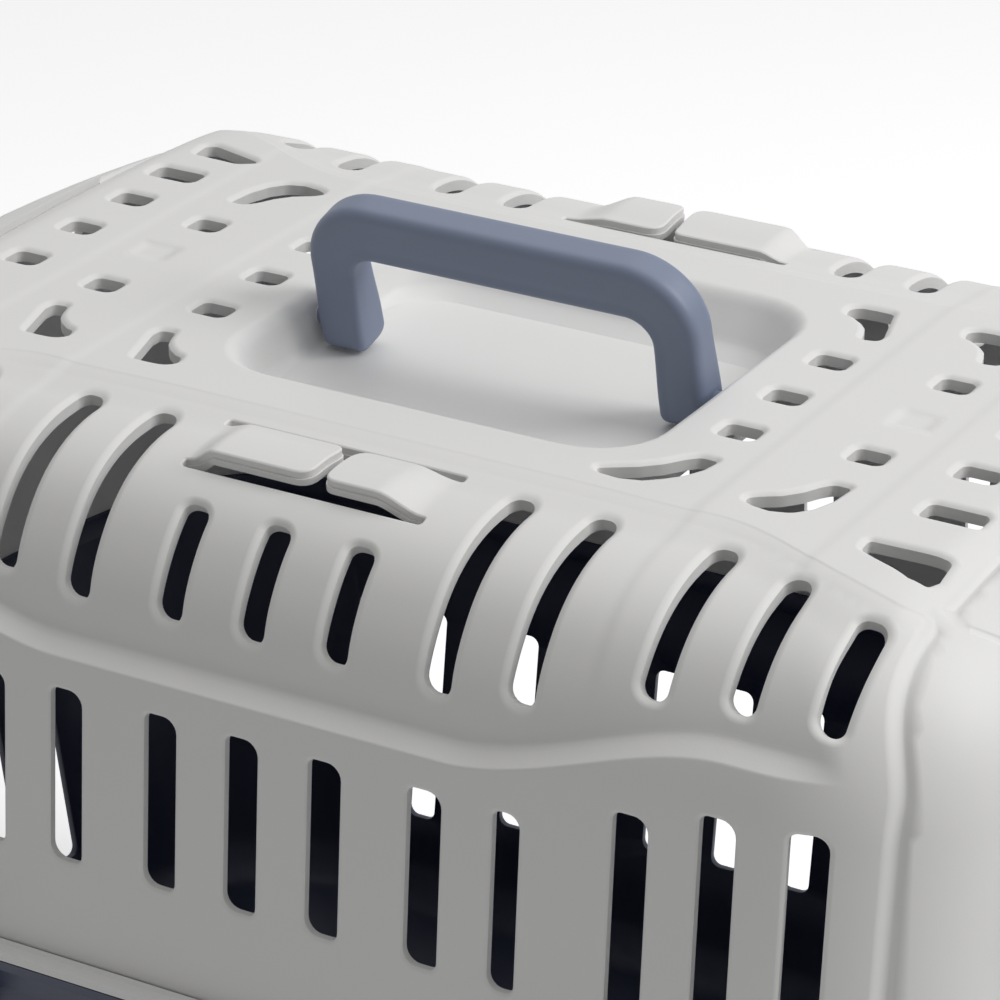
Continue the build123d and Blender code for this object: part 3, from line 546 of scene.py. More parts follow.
class Sheets:
    """Vertices, normals and faces of one object, added sheet by sheet."""

    def __init__(self):
        self.points, self.normals, self.faces, self.count = [], [], [], 0

    def add(self, points, normals, faces):
        """Adds a sheet and turns each face to agree with its normals."""
        points, normals, faces = np.asarray(points, float), np.asarray(normals, float), np.array(faces)
        a, b, c = (points[faces[:, corner]] for corner in range(3))
        agree = np.sum(np.cross(b - a, c - a) * (normals[faces[:, 0]] + normals[faces[:, 2]]), axis=1)
        faces[agree < 0] = faces[agree < 0][:, ::-1]
        self.faces += (faces + self.count).tolist()
        self.points.append(points)
        self.normals.append(normals)
        self.count += len(points)

    def strip(self, one, other, closed, normals=None):
        """Quads between two rows of points."""
        faces = ring_faces(2, len(one))
        if normals is None:
            normals = np.cross(np.roll(one, -1, 0) - np.roll(one, 1, 0), other - one)
            normals /= np.maximum(np.linalg.norm(normals, axis=1), 1e-9)[:, None]
        faces = faces if closed else faces[:-1]
        self.add(np.concatenate([one, other]), np.concatenate([normals, normals]), faces)

    def cap(self, ring, facing):
        """Triangles from a ring of points to its middle."""
        count = len(ring)
        fan = [(i, (i + 1) % count, count) for i in range(count)]
        self.add(np.concatenate([ring, [ring.mean(0)]]), np.tile(facing, (count + 1, 1)), fan)

    def make(self, name, finish, body):
        """The mesh as an object on a CAD body."""
        mesh = bpy.data.meshes.new(name)
        mesh.from_pydata((np.concatenate(self.points) * MM).tolist(), [], self.faces)
        mesh.shade_smooth()
        mesh.normals_split_custom_set_from_vertices(np.concatenate(self.normals).tolist())
        piece = add_piece(name, mesh, finish)
        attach(piece, body)
        print(name, len(mesh.vertices), "vertices,", len(mesh.polygons), "faces")
        return piece


# %% Points and edges of a sheet
class Sketch:
    """Points of a sheet in skin coordinates, the depth of the dish at each, and the edges to keep."""

    def __init__(self):
        self.points, self.depths, self.edges, self.count = [], [], [], 0

    def add(self, points, depth=0.0, edges=()):
        """Adds points with edges between them and gives the number of the first."""
        start = self.count
        self.points.append(points)
        self.depths.append(np.full(len(points), depth))
        self.edges += [(start + one, start + other) for one, other in edges]
        self.count += len(points)
        return start

    def loop(self, points, depth=0.0):
        return self.add(points, depth, [(i, (i + 1) % len(points)) for i in range(len(points))])


def gather(skin, border, scatter, holes, lines):
    """The sketch of a sheet and the rim, ring starts and kind of each hole. All else stays clear of holes."""
    sketch, rims = Sketch(), []
    sketch.loop(border)
    scatter = scatter[inside(scatter, offset_loop(border, -1.1))]
    within = offset_loop(border, -0.35)
    clear_lines = [inside(line, within) for line in lines]
    for hole in holes:
        widest = carry(skin, hole, hole.dish[0] + 1.0)
        scatter = scatter[~inside(scatter, widest)]
        clear_lines = [clear & ~inside(line, widest) for clear, line in zip(clear_lines, lines)]
        rings = [(carry(skin, hole, grow), depth) for grow, depth in hole.rings()]
        rims.append((rings[0][0], [sketch.loop(*ring) for ring in rings], hole.stepped))
    for line, clear in zip(lines, clear_lines):
        kept = np.where(clear)[0]
        sketch.add(line[kept], 0.0, [(i, i + 1) for i in range(len(kept) - 1) if kept[i + 1] == kept[i] + 1])
    sketch.add(scatter)
    return sketch, rims


def compact(faces):
    """The vertices that faces use, in order, and the faces renumbered to them."""
    used = sorted({index for face in faces for index in face})
    order = {index: place for place, index in enumerate(used)}
    return used, [tuple(order[index] for index in face) for face in faces]


def triangulate(sketch, border, rims):
    """Vertices, triangles between border and holes, depths, and the vertex of each point of the sketch."""
    given = [Vector(point) for point in np.concatenate(sketch.points)]
    found, _, faces, sources, _, _ = delaunay_2d_cdt(given, sketch.edges, [], 0, 1e-5)
    found = np.array([tuple(point) for point in found])
    middles = np.array([found[list(face)].mean(0) for face in faces])
    keep = inside(middles, border)
    for rim, _, _ in rims:
        keep &= ~inside(middles, rim)
    depths = np.concatenate(sketch.depths)
    depth = np.array([max((depths[s] for s in source), default=0.0) for source in sources])
    vertex_of = {s: index for index, source in enumerate(sources) for s in source}
    return found, [face for face, kept in zip(faces, keep) if kept], depth, vertex_of


# %% Filling a skin with triangles round its holes
STEP_IN = 0.45      # how much the stepped hole widens halfway through the wall


def add_wall(sheets, outer, inner, facing, ahead, stepped):
    """Wall of a hole, straight or with a step halfway."""
    if not stepped:
        sheets.strip(outer, inner, True, facing)
        return
    halfway = (outer + inner) / 2
    ledge = halfway + facing * STEP_IN
    sheets.strip(outer, halfway, True, facing)
    sheets.strip(halfway, ledge, True, ahead)
    sheets.strip(ledge, inner + facing * STEP_IN, True, facing)


def fill(sheets, skin, border, scatter, holes, border_skin=None, lines=()):
    """Triangulates a skin inside its border and adds its outside, its inside and the walls of its holes.

    Triangles keep to the lines, which follow ledges and grooves."""
    sketch, rims = gather(skin, border, scatter, holes, lines)
    found, faces, depth, vertex_of = triangulate(sketch, border, rims)
    lifted = raised(skin)
    bare, normals = lifted(*found.T), normal(lifted, *found.T)
    if border_skin is not None:
        at_border = [vertex_of[index] for index in range(len(border))]
        bare[at_border], normals[at_border] = border_skin
    outer = bare - normals * depth[:, None]
    inner = bare - normals * wall_depth(bare[:, 2])[:, None]
    shading, walls = normals.copy(), []
    for rim, starts, stepped in rims:
        rows = [np.array([vertex_of[start + i] for i in range(len(rim))]) for start in starts]
        for ring, row in enumerate(rows[:-1]):
            before, after = rows[max(ring - 1, 0)], rows[ring + 1]
            out = bare[after] - bare[before]
            run = np.maximum(np.linalg.norm(out, axis=1), 1e-6)[:, None]
            shading[row] += (depth[after] - depth[before])[:, None] / run * out / run
            if ring == 0:
                walls.append((row, -out / run, stepped))
    shading /= np.linalg.norm(shading, axis=1)[:, None]
    used, faces = compact(faces)
    sheets.add(outer[used], shading[used], faces)
    sheets.add(inner[used], -normals[used], faces)
    for row, facing, stepped in walls:
        add_wall(sheets, outer[row], inner[row], facing, normals[row], stepped)


# %% The seam between the roof and the walls
def quarter(across, down):
    """The quarter as points rather than as three coordinates."""
    return np.stack(shell_quarter(across, down), -1)


SPLIT = 105.0          # distance along a side where its sheet meets the sheet of an end
SEAM_DOWN = -3.2       # the seam lies a little inside the start of the shoulder


def seam_quarter():
    """Skin coordinates of the seam in one quarter, clear of every hole."""
    along = np.linspace(0, SPLIT, 36)
    straight = np.stack([along, np.full(len(along), SEAM_DOWN)], -1)
    start = quarter(np.array([SPLIT]), np.array([SEAM_DOWN]))[0]
    rise = []
    for x in np.arange(start[0] + 2.0, 180.0, 2.0):
        first, second, third = smooth(start[0], 118.0, x), smooth(133.0, 150.0, x), smooth(150.0, 166.0, x)
        rise.append((x, start[1] + float(2.9 * first + 8.0 * second + 7.5 * third)))
    bend = [(180.0 + 6 * math.cos(t), 103.0 + 6 * math.sin(t)) for t in np.linspace(math.pi / 2, 0, 8)]
    down = [(186.0, y) for y in np.linspace(103.0, 0, 42)[1:]]
    goal = np.array(rise + bend + down)
    place = []
    guess = (along[-1], SEAM_DOWN)
    for point in goal:
        guess = find(quarter, FROM_ABOVE, point[None], guess)[0]
        place.append(guess)
    place[-1] = np.array([RIM, place[-1][1]])
    return np.concatenate([straight, np.array(place)])


seam = seam_quarter()
print("seam points in a quarter:", len(seam), "ends at", seam[-1].round(2))

# %% Slots of the sides
# Distance from the middle; end in the plan, drop of the foot and sideways shift of the upper slot;
# top and half width of the lower slot.
SLOTS = (
    (0.0, 129.5, 44.0, 2.2, 242.5, 5.5),
    (27.5, 129.5, 44.0, 2.2, 242.5, 5.5),
    (60.0, 96.5, 44.5, 1.3, 242.5, 5.5),
    (86.0, 96.5, 41.0, 1.3, 242.5, 4.3),
    (124.0, 98.0, 30.0, 0.9, 252.0, 5.5),
    (150.0, 106.0, 28.0, 0.9, 258.0, 5.5),
    (176.0, 115.0, 27.6, 0.9, 259.0, 5.5),
)
LOWER_FOOT, UPPER_HALF, SLOT_HALF = 188.0, 4.5, 5.5
UPPER_RADII = (4.6, 3.0, 4.6, 3.0)
INSET = 2.35        # from the skin to the line that carries the ends of the upper slots


def side_axes(side, tilt):
    """Axes of a plane that faces a long side, tilted back: to the viewer's right, and up."""
    return np.array(((-side, 0, 0), (0, -side * math.sin(tilt), math.cos(tilt))), float)


def upper_slot(x, side, top_y, drop, shift):
    """Slot over a shoulder, square to 45 degrees, given where its ends lie in the plan and from the top."""
    axes = side_axes(side, math.radians(45))
    centre_y, centre_z = 104.0, SHOULDER_TOP - WAIST_RADIUS
    top_z = centre_z + math.sqrt(WAIST_RADIUS**2 - (top_y - centre_y + INSET) ** 2)
    low_z = max(ROOF_TOP - drop, centre_z)
    low_y = centre_y + math.sqrt(WAIST_RADIUS**2 - (low_z - centre_z) ** 2) - INSET
    top, low = (axes[1] @ (0, side * y, z) for y, z in ((top_y, top_z), (low_y, low_z)))
    middle = axes[1] * ((top + low) / 2) + (x + side * shift, 0, 0)
    return slot(middle, axes, UPPER_HALF, (top - low) / 2, UPPER_RADII, (x * 1.02, 45.0), (2.5, 1.15))


def lower_slot(x, side, top, half):
    """Slot straight through a long wall."""
    height = (top + LOWER_FOOT) / 2
    radii = (min(4.8, half), 2.6, min(4.8, half), 2.6)
    guess = (x, ARC_END + WALL_TOP - height)
    middle, tall = (x, side * 158, height), (top - LOWER_FOOT) / 2
    return slot(middle, side_axes(side, 0), half, tall, radii, guess, (1.5, 0.7))


def slot_pair(row, x, side):
    """The upper and the lower slot of one row of the table, at one place of a side."""
    _, top_y, drop, shift, lower_top, lower_half = row
    return [upper_slot(x, side, top_y, drop, shift), lower_slot(x, side, lower_top, lower_half)]


# %% Belt window
def belt_window(side):
    """The opening round both tongues: two slits joined by the gap between the tips."""
    left, right, lean = 2.0, 6.5, 0.8
    wide, band, tip = WINDOW_HALF, WINDOW_BAND, TONGUE_HALF
    corners = np.array([
        (wide, band, 1.6), (-wide, band, 1.6), (-wide, tip, 0.7),
        (left - lean, tip, 3.4), (left + lean, -tip, 5.4), (-wide, -tip, 0.7),
        (-wide, -band, 1.6), (wide, -band, 1.6), (wide, -tip, 0.7),
        (right + lean, -tip, 3.6), (right - lean, tip, 6.0), (wide, tip, 0.7),
    ])
    points = divided(blunt(corners[:, :2], corners[:, 2]), 2.2)
    middle, axes = (side * WINDOW_SHIFT, side * TONGUE_MIDDLE, SHOULDER_TOP), ((-side, 0, 0), (0, -side, 0))
    return Hole(middle, axes, lambda grow: offset_loop(points, grow), (0.0, 14.0), (0.75, 0.45), stepped=True)


# %% Lines that follow the ledge and the grooves
def follow(skin, rows, measure, level, low, high, swap=False):
    """A line across a skin on which a measure has one value, with one point for each row.

    A row is a distance across, and the search runs down it; with swap it is a distance down."""
    span = np.linspace(low, high, 700)
    line = []
    for row in rows:
        place = (span, np.full(len(span), row)) if swap else (np.full(len(span), row), span)
        found = np.interp(level, np.maximum.accumulate(measure(skin(*place))), span)
        line.append((found, row) if swap else (row, found))
    return np.array(line)


def below_ledge(point):
    """How far points lie under the edge of the ledge."""
    return ledge_height(point[:, 0]) - point[:, 2]


def past_hoop(point):
    """How far points lie beyond the hoop groove, towards an end."""
    return np.abs(point[:, 0]) - hoop_place(point[:, 2])


LEDGE_LIFTS = (-1.4, -0.6, -0.15, 0.3, 0.9, 1.9, 3.0, 4.1, 5.2, 6.4)
HOOP_SHIFTS = (-4.2, -3.5, -2.8, -2.0, -1.3, -0.6, 0.0, 0.45, 0.9, 1.4)

# %% Points spread over the skin
STEP = 3.0


def spread(low_a, high_a, low_b, high_b, skin):
    """An even grid on a skin, left open where the ledge and the hoop grooves bring their own points."""
    across = np.arange(low_a + STEP / 2, high_a, STEP)
    down = np.arange(low_b + STEP / 2, high_b, STEP)
    points = np.stack([axis.ravel() for axis in np.meshgrid(across, down)], -1)
    place = skin(*points.T)
    lift = place[:, 2] - ledge_height(place[:, 0])
    at_ledge = (np.abs(place[:, 0]) < 193) & (lift > -2.6) & (lift < 7.8)
    from_hoop = past_hoop(place)
    at_hoop = (from_hoop > -5.6) & (from_hoop < 2.9) & (np.abs(place[:, 0]) > 150)
    return points[~(at_ledge | at_hoop)]


# %% Long sides
def split_rows(side):
    """Distances down the skin along the line where a side meets an end."""
    rows = np.linspace(SEAM_DOWN, FOOT, 66)
    skin = side_skin(side)
    extra = np.array([follow(skin, [SPLIT], below_ledge, -lift, 40, FOOT)[0, 1] for lift in LEDGE_LIFTS])
    rows = rows[(rows < extra.min() - 1.2) | (rows > extra.max() + 1.2)]
    return np.sort(np.concatenate([rows, extra]))


def add_side(sheets, side):
    """One long side between its two meeting lines, with its slots and its belt window."""
    skin = side_skin(side)
    rows = split_rows(side)
    half = seam[seam[:, 0] <= SPLIT + 1e-6]
    top = np.concatenate([half[::-1] * (-1, 1), half[1:]])
    right = np.stack([np.full(len(rows), SPLIT), rows], -1)[1:]
    foot = np.stack([np.linspace(SPLIT, -SPLIT, 60), np.full(60, FOOT)], -1)[1:]
    left = np.stack([np.full(len(rows), -SPLIT), rows[::-1]], -1)[1:-1]
    border = np.concatenate([top, right, foot, left])
    along = np.linspace(-SPLIT + 1, SPLIT - 1, 131)
    lines = [follow(skin, along, below_ledge, -lift, 40, FOOT) for lift in LEDGE_LIFTS]
    places = [(row, x) for row in SLOTS if row[0] < SPLIT for x in sorted({-row[0], row[0]})]
    holes = [hole for row, x in places for hole in slot_pair(row, x, side)] + [belt_window(side)]
    scatter = spread(-SPLIT, SPLIT, SEAM_DOWN, FOOT, skin)
    x, y, z = skin(*scatter.T).T
    on_tongues = (np.abs(np.abs(y) - TONGUE_MIDDLE) < 12.0) & (np.abs(x) < 44) & (z > 290)
    scatter = np.concatenate([scatter[~on_tongues], tongue_points(side)])
    fill(sheets, skin, border, scatter, holes, lines=lines)


def tongue_points(side):
    """A finer grid on the tongues, where the skin bends up their ramps."""
    x, y = np.meshgrid(np.arange(-43.5, 44, 1.5), np.arange(TONGUE_MIDDLE - 11.25, TONGUE_MIDDLE + 11.3, 1.5))
    goal = np.stack([x.ravel(), side * y.ravel()], -1)
    return find(side_skin(side), FROM_ABOVE, goal, (0.0, 14.0))


shell = Sheets()
for side in (-1, 1):
    add_side(shell, side)
print("long sides:", shell.count, "vertices")

# %% Holes and lines of the ends
BACK_SLOT_Y = (15.0, 45.5, 76.0)
BACK_SLOT_ENDS = (60.0, 15.0)       # degrees round the shoulder
DOORWAY_HALF, DOORWAY_TOP, DOORWAY_CORNER = 98.5, 263.5, 4.0


def back_slot(y):
    """Slot over the shoulder of the closed end, square to 45 degrees."""
    up = np.array((math.sin(math.radians(45)), 0, math.cos(math.radians(45))))
    bowed = BOW_RADIUS - math.sqrt(BOW_RADIUS**2 - y**2)
    centre = np.array((-(232 - bowed - SHOULDER_RADIUS), 0, SHOULDER_TOP - SHOULDER_RADIUS))
    turns = [math.radians(angle) for angle in BACK_SLOT_ENDS]
    top, low = (up @ (centre + SHOULDER_RADIUS * np.array((-math.cos(t), 0, math.sin(t)))) for t in turns)
    middle, axes = up * (top + low) / 2 + (0, y, 0), ((0, -1, 0), up)
    return slot(middle, axes, SLOT_HALF, (top - low) / 2, UPPER_RADII, (y * 1.1, 50.0), (2.2, 1.0))


def doorway_path(skin):
    """Edge of the doorway in the skin's coordinates, from the +Y foot over the top to the -Y foot."""
    corner, y, z = DOORWAY_CORNER, DOORWAY_HALF - DOORWAY_CORNER, DOORWAY_TOP - DOORWAY_CORNER
    half = [(DOORWAY_HALF, height) for height in np.linspace(PARTING, z, 38)]
    turns = np.linspace(0, math.pi / 2, 6)[1:-1]
    half += [(y + corner * math.cos(turn), z + corner * math.sin(turn)) for turn in turns]
    top = [(across, DOORWAY_TOP) for across in np.linspace(y, -y, 66)]
    goal = np.array(half + top + [(-across, height) for across, height in half[::-1]])
    guess = np.stack([goal[:, 0] * 1.05, np.clip(ARC_END + WALL_TOP - goal[:, 1], 30, FOOT)], -1)
    return find(skin, ((0, 1, 0), (0, 0, 1)), goal, guess)


def end_lines(skin):
    """Lines along the ledge and the hoop groove, on both flanks and over the roof."""
    flank = []
    for lift in LEDGE_LIFTS:
        line = follow(quarter, np.arange(SPLIT + 1, 245, 1.6), below_ledge, -lift, 40, FOOT)
        flank.append(line[quarter(*line.T)[:, 0] < 192.5])
    for shift in HOOP_SHIFTS:
        line = follow(quarter, np.arange(30, FOOT - 0.5, 1.8), past_hoop, shift, 130, 320, swap=True)
        place = quarter(*line.T)
        flank.append(line[(place[:, 1] > 103.5) & (np.linalg.norm(place - CROSSING, axis=1) > 2.5)])
    for shift in (-2.4, -1.2, 0.0, 1.2, 2.4):
        line = follow(quarter, np.arange(12, 60, 1.8), end_groove_place, shift, 190, RIM, swap=True)
        place = quarter(*line.T)
        flank.append(line[(place[:, 0] > 193.5) & (place[:, 2] > 274)])
    lines = [np.stack([side * (RIM - line[:, 0]), line[:, 1]], -1) for side in (-1, 1) for line in flank]
    for shift in HOOP_SHIFTS:
        line = follow(skin, np.arange(-112, 112.1, 2.0), past_hoop, shift, 0, 45)
        lines.append(line[np.abs(skin(*line.T)[:, 1]) < 96])
    return lines


# %% Ends


def add_end(sheets, end):
    """One end with both its corners; the doorway is cut out of the edge of the front one."""
    skin = end_skin(end)
    rows = split_rows(-1)
    reach = RIM - SPLIT
    half = seam[seam[:, 0] >= SPLIT - 1e-6]
    left_top = np.stack([-(RIM - half[:, 0]), half[:, 1]], -1)
    top = np.concatenate([left_top, (left_top[:-1] * (-1, 1))[::-1]])
    right = np.stack([np.full(len(rows), reach), rows], -1)[1:]
    left = np.stack([np.full(len(rows), -reach), rows[::-1]], -1)[1:-1]
    if end > 0:
        door = doorway_path(skin)
        edge_right, edge_left = door[0, 0], door[-1, 0]
        foot = [np.stack([np.linspace(reach, edge_right, 45), np.full(45, FOOT)], -1)[1:-1], door]
        foot.append(np.stack([np.linspace(edge_left, -reach, 45), np.full(45, FOOT)], -1)[1:])
    else:
        foot = [np.stack([np.linspace(reach, -reach, 130), np.full(130, FOOT)], -1)[1:]]
    border = np.concatenate([top, right, *foot, left])
    scatter = spread(-reach, reach, SEAM_DOWN, FOOT, skin)
    place = skin(*scatter.T)
    at_groove = (np.abs(end_groove_place(place)) < 3.4) & (place[:, 2] > 272) & (np.abs(place[:, 0]) > 192)
    holes = []
    for row, side in [(row, side) for row in SLOTS if row[0] > SPLIT for side in (-1, 1)]:
        for hole in slot_pair(row, end * row[0], side):
            hole.guess = (side * (RIM - row[0] * 1.03), hole.guess[1])
            holes.append(hole)
    if end < 0:
        holes += [back_slot(y) for size in BACK_SLOT_Y for y in (-size, size)]
    fill(sheets, skin, border, scatter[~at_groove], holes, lines=end_lines(skin))


for end in (-1, 1):
    add_end(shell, end)
print("with the ends:", shell.count, "vertices")

# %% [markdown]
# ## The roof
# The roof is a plan with holes in it: rows of small vents, three-cornered and crescent-shaped ones beside
# the handle, and the wide dish that the handle folds into. It shares its rim, point for point, with the
# sides and ends, so that no seam shows.

# %% Vents of the roof
FIN = (
    (131, 72.5), (133.2, 64.5), (136, 54.5), (135.8, 50.2), (130.8, 49.3), (129.4, 54.3), (127.8, 58.0),
    (125.2, 61.0), (121.6, 63.6), (118.4, 64.6), (117.2, 69.5), (119.8, 72.2), (125, 72.6),
)
CRESCENT = (
    (114.0, -72.0), (118.0, -73.6), (123.0, -74.3), (128.6, -72.6), (132.6, -67.6), (135.2, -60.0),
    (136.2, -49.4), (130.6, -49.3), (127.9, -53.0), (125.4, -58.0), (121.2, -63.2), (116.0, -66.6),
    (113.4, -69.0),
)
LONG_CRESCENT = (
    (66.5, -71.8), (69.0, -74.6), (76.0, -75.2), (82.2, -73.4), (86.6, -69.6), (90.6, -65.0), (93.6, -59.0),
    (95.0, -51.0), (89.3, -50.7), (86.0, -54.2), (82.0, -60.0), (76.8, -65.0), (71.0, -68.8),
)
CORNER_VENT = (
    (155.2, -78.0), (155.8, -84.6), (162, -87.6), (168.4, -90.3), (174.0, -93.0), (179.6, -93.2),
    (181.2, -88), (180.2, -77.2),
)
FAR_VENT = ((-170, 79.5), (-152, 78.6), (-147.5, 82.5), (-148.5, 84.5), (-168, 90), (-171, 88))
MIDDLE_VENTS = ((91, -30, 6.0), (91, -1, 6.0), (91, 29, 6.0), (131, -28, 5.6), (131, 30, 5.6))
END_VENTS = (
    (-164.5, 60.5, 8.8), (-164.5, 34.5, 6.4), (-164.5, 5.5, 5.9), (-164.5, -24.5, 5.9), (169.0, -52.5, 9.4),
    (163.5, -24.5, 6.6), (164.5, 5.5, 6.0), (164.5, 34.5, 6.0), (164.5, 60.5, 6.0),
)
VENT_DISH = (2.4, 1.2)


def vent(turn, corners, shift=0.0):
    """Vent drawn in the plan of the roof; turn is -1 for its partner after half a turn."""
    points = divided(blunt(np.array(corners) + (shift, 0), 1.8), 2.4) * turn
    centre = points.mean(0)
    middle, around = (*centre, ROOF_TOP), points - centre
    return Hole(middle, FROM_ABOVE, lambda grow: offset_loop(around, grow), centre, VENT_DISH)


def square_vent(x, y, half_a):
    """Small four-cornered vent, 10 mm wide."""
    return slot((x, y, ROOF_TOP), FROM_ABOVE, half_a, 5.0, (2.6,) * 4, (x, y), VENT_DISH)


def roof_holes():
    """All vents; the roof is nearly the same after half a turn."""
    holes = []
    for turn in (1, -1):
        holes += [square_vent(turn * x, turn * y, half) for x, y, half in MIDDLE_VENTS]
        holes += [vent(turn, CRESCENT), vent(turn, LONG_CRESCENT), vent(turn, FIN), vent(turn, FIN, -39.6)]
    holes += [square_vent(*row) for row in END_VENTS]
    return holes + [vent(1, CORNER_VENT), vent(1, FAR_VENT)]


RECESS_HALF_A, RECESS_HALF_B, RECESS_CORNER = 75.0, 65.5, 24.0
ROOF_MIDDLE = ROOF_TOP - 0.85     # the middle of the roof lies a little lower than its ends


def recess_rim():
    """The rim of the dish, which the dish's own mesh takes over from."""
    radii = (RECESS_CORNER,) * 4
    return slot((0, 0, ROOF_TOP), FROM_ABOVE, RECESS_HALF_A, RECESS_HALF_B, radii, (0, 0), (0, 0))


def roof_lines():
    """Lines along the crease at the edge of the raised panel."""
    along = np.arange(-184, 184.1, 1.8)
    places = [(side, shift) for side in (-1, 1) for shift in (-1.6, -0.8, 0.0, 1.0, 2.2, 3.4, 4.6)]
    return [np.stack([along, side * (panel_edge(along) + shift)], -1) for side, shift in places]


# %% Roof panel
def quarter_skin(sign_x, sign_y):
    """Skin of one quarter, which carries on a little way into its neighbours."""
    def skin(around, down):
        x, y, z = shell_quarter(np.where(around > RIM, 2 * RIM - around, np.abs(around)), down)
        x = sign_x * x * np.where(around < 0, -1, 1)
        y = sign_y * y * np.where(around > RIM, -1, 1)
        return np.stack([x, y, z], -1)
    return skin


def roof_border():
    """Rim of the roof: plan, raised places and normals, taken from the walls' own skin."""
    plan, places, normals = [], [], []
    for sign_x, sign_y, forward in ((1, 1, False), (-1, 1, True), (-1, -1, False), (1, -1, True)):
        half = (seam if forward else seam[::-1])[:-1]
        skin = quarter_skin(sign_x, sign_y)
        plan.append(skin(*half.T)[:, :2])
        places.append(raised(skin)(*half.T))
        normals.append(normal(raised(skin), *half.T))
    return np.concatenate(plan), (np.concatenate(places), np.concatenate(normals))


border, border_skin = roof_border()
grid_x, grid_y = np.meshgrid(np.arange(-186, 186.1, STEP), np.arange(-108, 108.1, STEP))
scatter = np.stack([grid_x.ravel(), grid_y.ravel()], -1)
from_crease = np.abs(scatter[:, 1]) - panel_edge(scatter[:, 0])
scatter = scatter[(from_crease < -2.8) | (from_crease > 5.8)]
fill(shell, roof_skin, border, scatter, roof_holes() + [recess_rim()], border_skin, roof_lines())
print("with the roof:", shell.count, "vertices")

# %% [markdown]
# ## The dish for the handle
# The handle folds into a dish with a broad rounded rim, steep ends and a flat floor. It is built from
# rings of one outline that shrinks as it goes down, which is how a loft works.

# %% Handle dish
def dish_rings():
    """Half length, half width, corner and depth of each ring, from the roof down to the floor."""
    rings, steep = [], math.radians(62)
    for t in np.linspace(0, 1, 9):
        turn = t * steep
        depth = 4.4 * (1 - math.cos(turn)) / (1 - math.cos(steep))
        half_a = RECESS_HALF_A - 4.6 * math.sin(turn) / math.sin(steep)
        rings.append((half_a, RECESS_HALF_B - 5.5 * t, RECESS_CORNER - 3.0 * t, depth))
    for t in np.linspace(0, 1, 7)[1:]:
        rings.append((70.4 - 1.0 * t, 60.0 - 6.5 * t, 21 - 1.0 * t, 4.4 + 8.6 * t))
    for t in np.linspace(0, 1, 9)[1:]:
        sine, cosine = math.sin(t * math.pi / 2), math.cos(t * math.pi / 2)
        rings.append((69.4 - 3.4 * (1 - cosine), 53.5 - 6.5 * sine**1.2, 20 - 3.0 * t, 13.0 + 4.3 * sine))
    return rings


def dish_ring(half_a, half_b, corner, depth):
    """The rim's outline carried to a smaller rounded rectangle lower down, point for point."""
    base = rounded(RECESS_HALF_A, RECESS_HALF_B, (RECESS_CORNER,) * 4)
    core = np.array([RECESS_HALF_A, RECESS_HALF_B]) - RECESS_CORNER
    clipped = np.clip(base, -core, core)
    spoke = (base - clipped) / RECESS_CORNER
    ring = clipped * ((half_a - corner, half_b - corner) / core) + spoke * corner
    return np.column_stack([ring, np.full(len(ring), ROOF_MIDDLE - depth)])


def add_dish(sheets):
    """Outside and inside of the dish, each with its floor."""
    grid = np.array([dish_ring(*ring) for ring in dish_rings()])
    up = np.array([0, 0, 1.0])
    normals = grid_normals(grid)
    normals *= np.where(normals[..., 2:] < 0, -1, 1)
    normals[[0, -1]] = up
    faces = ring_faces(*grid.shape[:2])
    points, normals = grid.reshape(-1, 3), normals.reshape(-1, 3)
    sheets.add(points, normals, faces)
    sheets.add(points - normals * WALL_HIGH, -normals, faces)
    sheets.cap(grid[-1], up)
    sheets.cap(grid[-1] - up * WALL_HIGH, -up)


add_dish(shell)

# %% [markdown]
# ## The flange
# A flange runs round the joint, notched where the clips grip it. It is a sweep: a small section with
# rounded edges is carried round the outline of the body.

# %% Outline and reach of the flange
CLIP_X, CLIP_BACK_Y, CLIP_HALF = 112.0, 70.0, 17.4
FLANGE_REACH, NOTCH_REACH = 6.0, 3.0


def along_bow(y):
    """Distance from the middle of a bowed end, for a y."""
    return BOW_RADIUS * np.arcsin(np.clip(y / BOW_RADIUS, -1, 1))


def flange_reach(point):
    """How far the flange stands out, less where a clip sits in its notch."""
    x, y = point[:, 0], np.abs(point[:, 1])
    at_side = (y > 140) & (np.abs(np.abs(x) - CLIP_X) < CLIP_HALF)
    at_back = (x < -200) & (np.abs(along_bow(y) - along_bow(CLIP_BACK_Y)) < CLIP_HALF)
    return np.where(at_side | at_back, NOTCH_REACH, FLANGE_REACH)


def plan_loop(height):
    """Closed outline of the body at a height, and its outward directions, with points at the notches."""
    clips = (CLIP_X, RIM - along_bow(CLIP_BACK_Y))
    edges = [clip + edge for clip in clips for edge in (-CLIP_HALF, CLIP_HALF)]
    stops = [edge + shift for edge in edges for shift in (-0.05, 0.05)]
    around = np.unique(np.concatenate([np.linspace(0, RIM, 150), stops]))
    on = np.stack(outline(height, 0.0, around), -1)
    out = np.stack(outline(height, -1.0, around), -1) - on
    plan, outward = [], []
    for sign_x, sign_y, order in ((1, 1, -1), (-1, 1, 1), (-1, -1, -1), (1, -1, 1)):
        plan.append(on[::order][:-1] * (sign_x, sign_y))
        outward.append(out[::order][:-1] * (sign_x, sign_y))
    return np.concatenate(plan), np.concatenate(outward)


def in_doorway(points):
    """Which points of the outline lie between the door posts."""
    return (points[:, 0] > 150) & (np.abs(points[:, 1]) < 99.0)


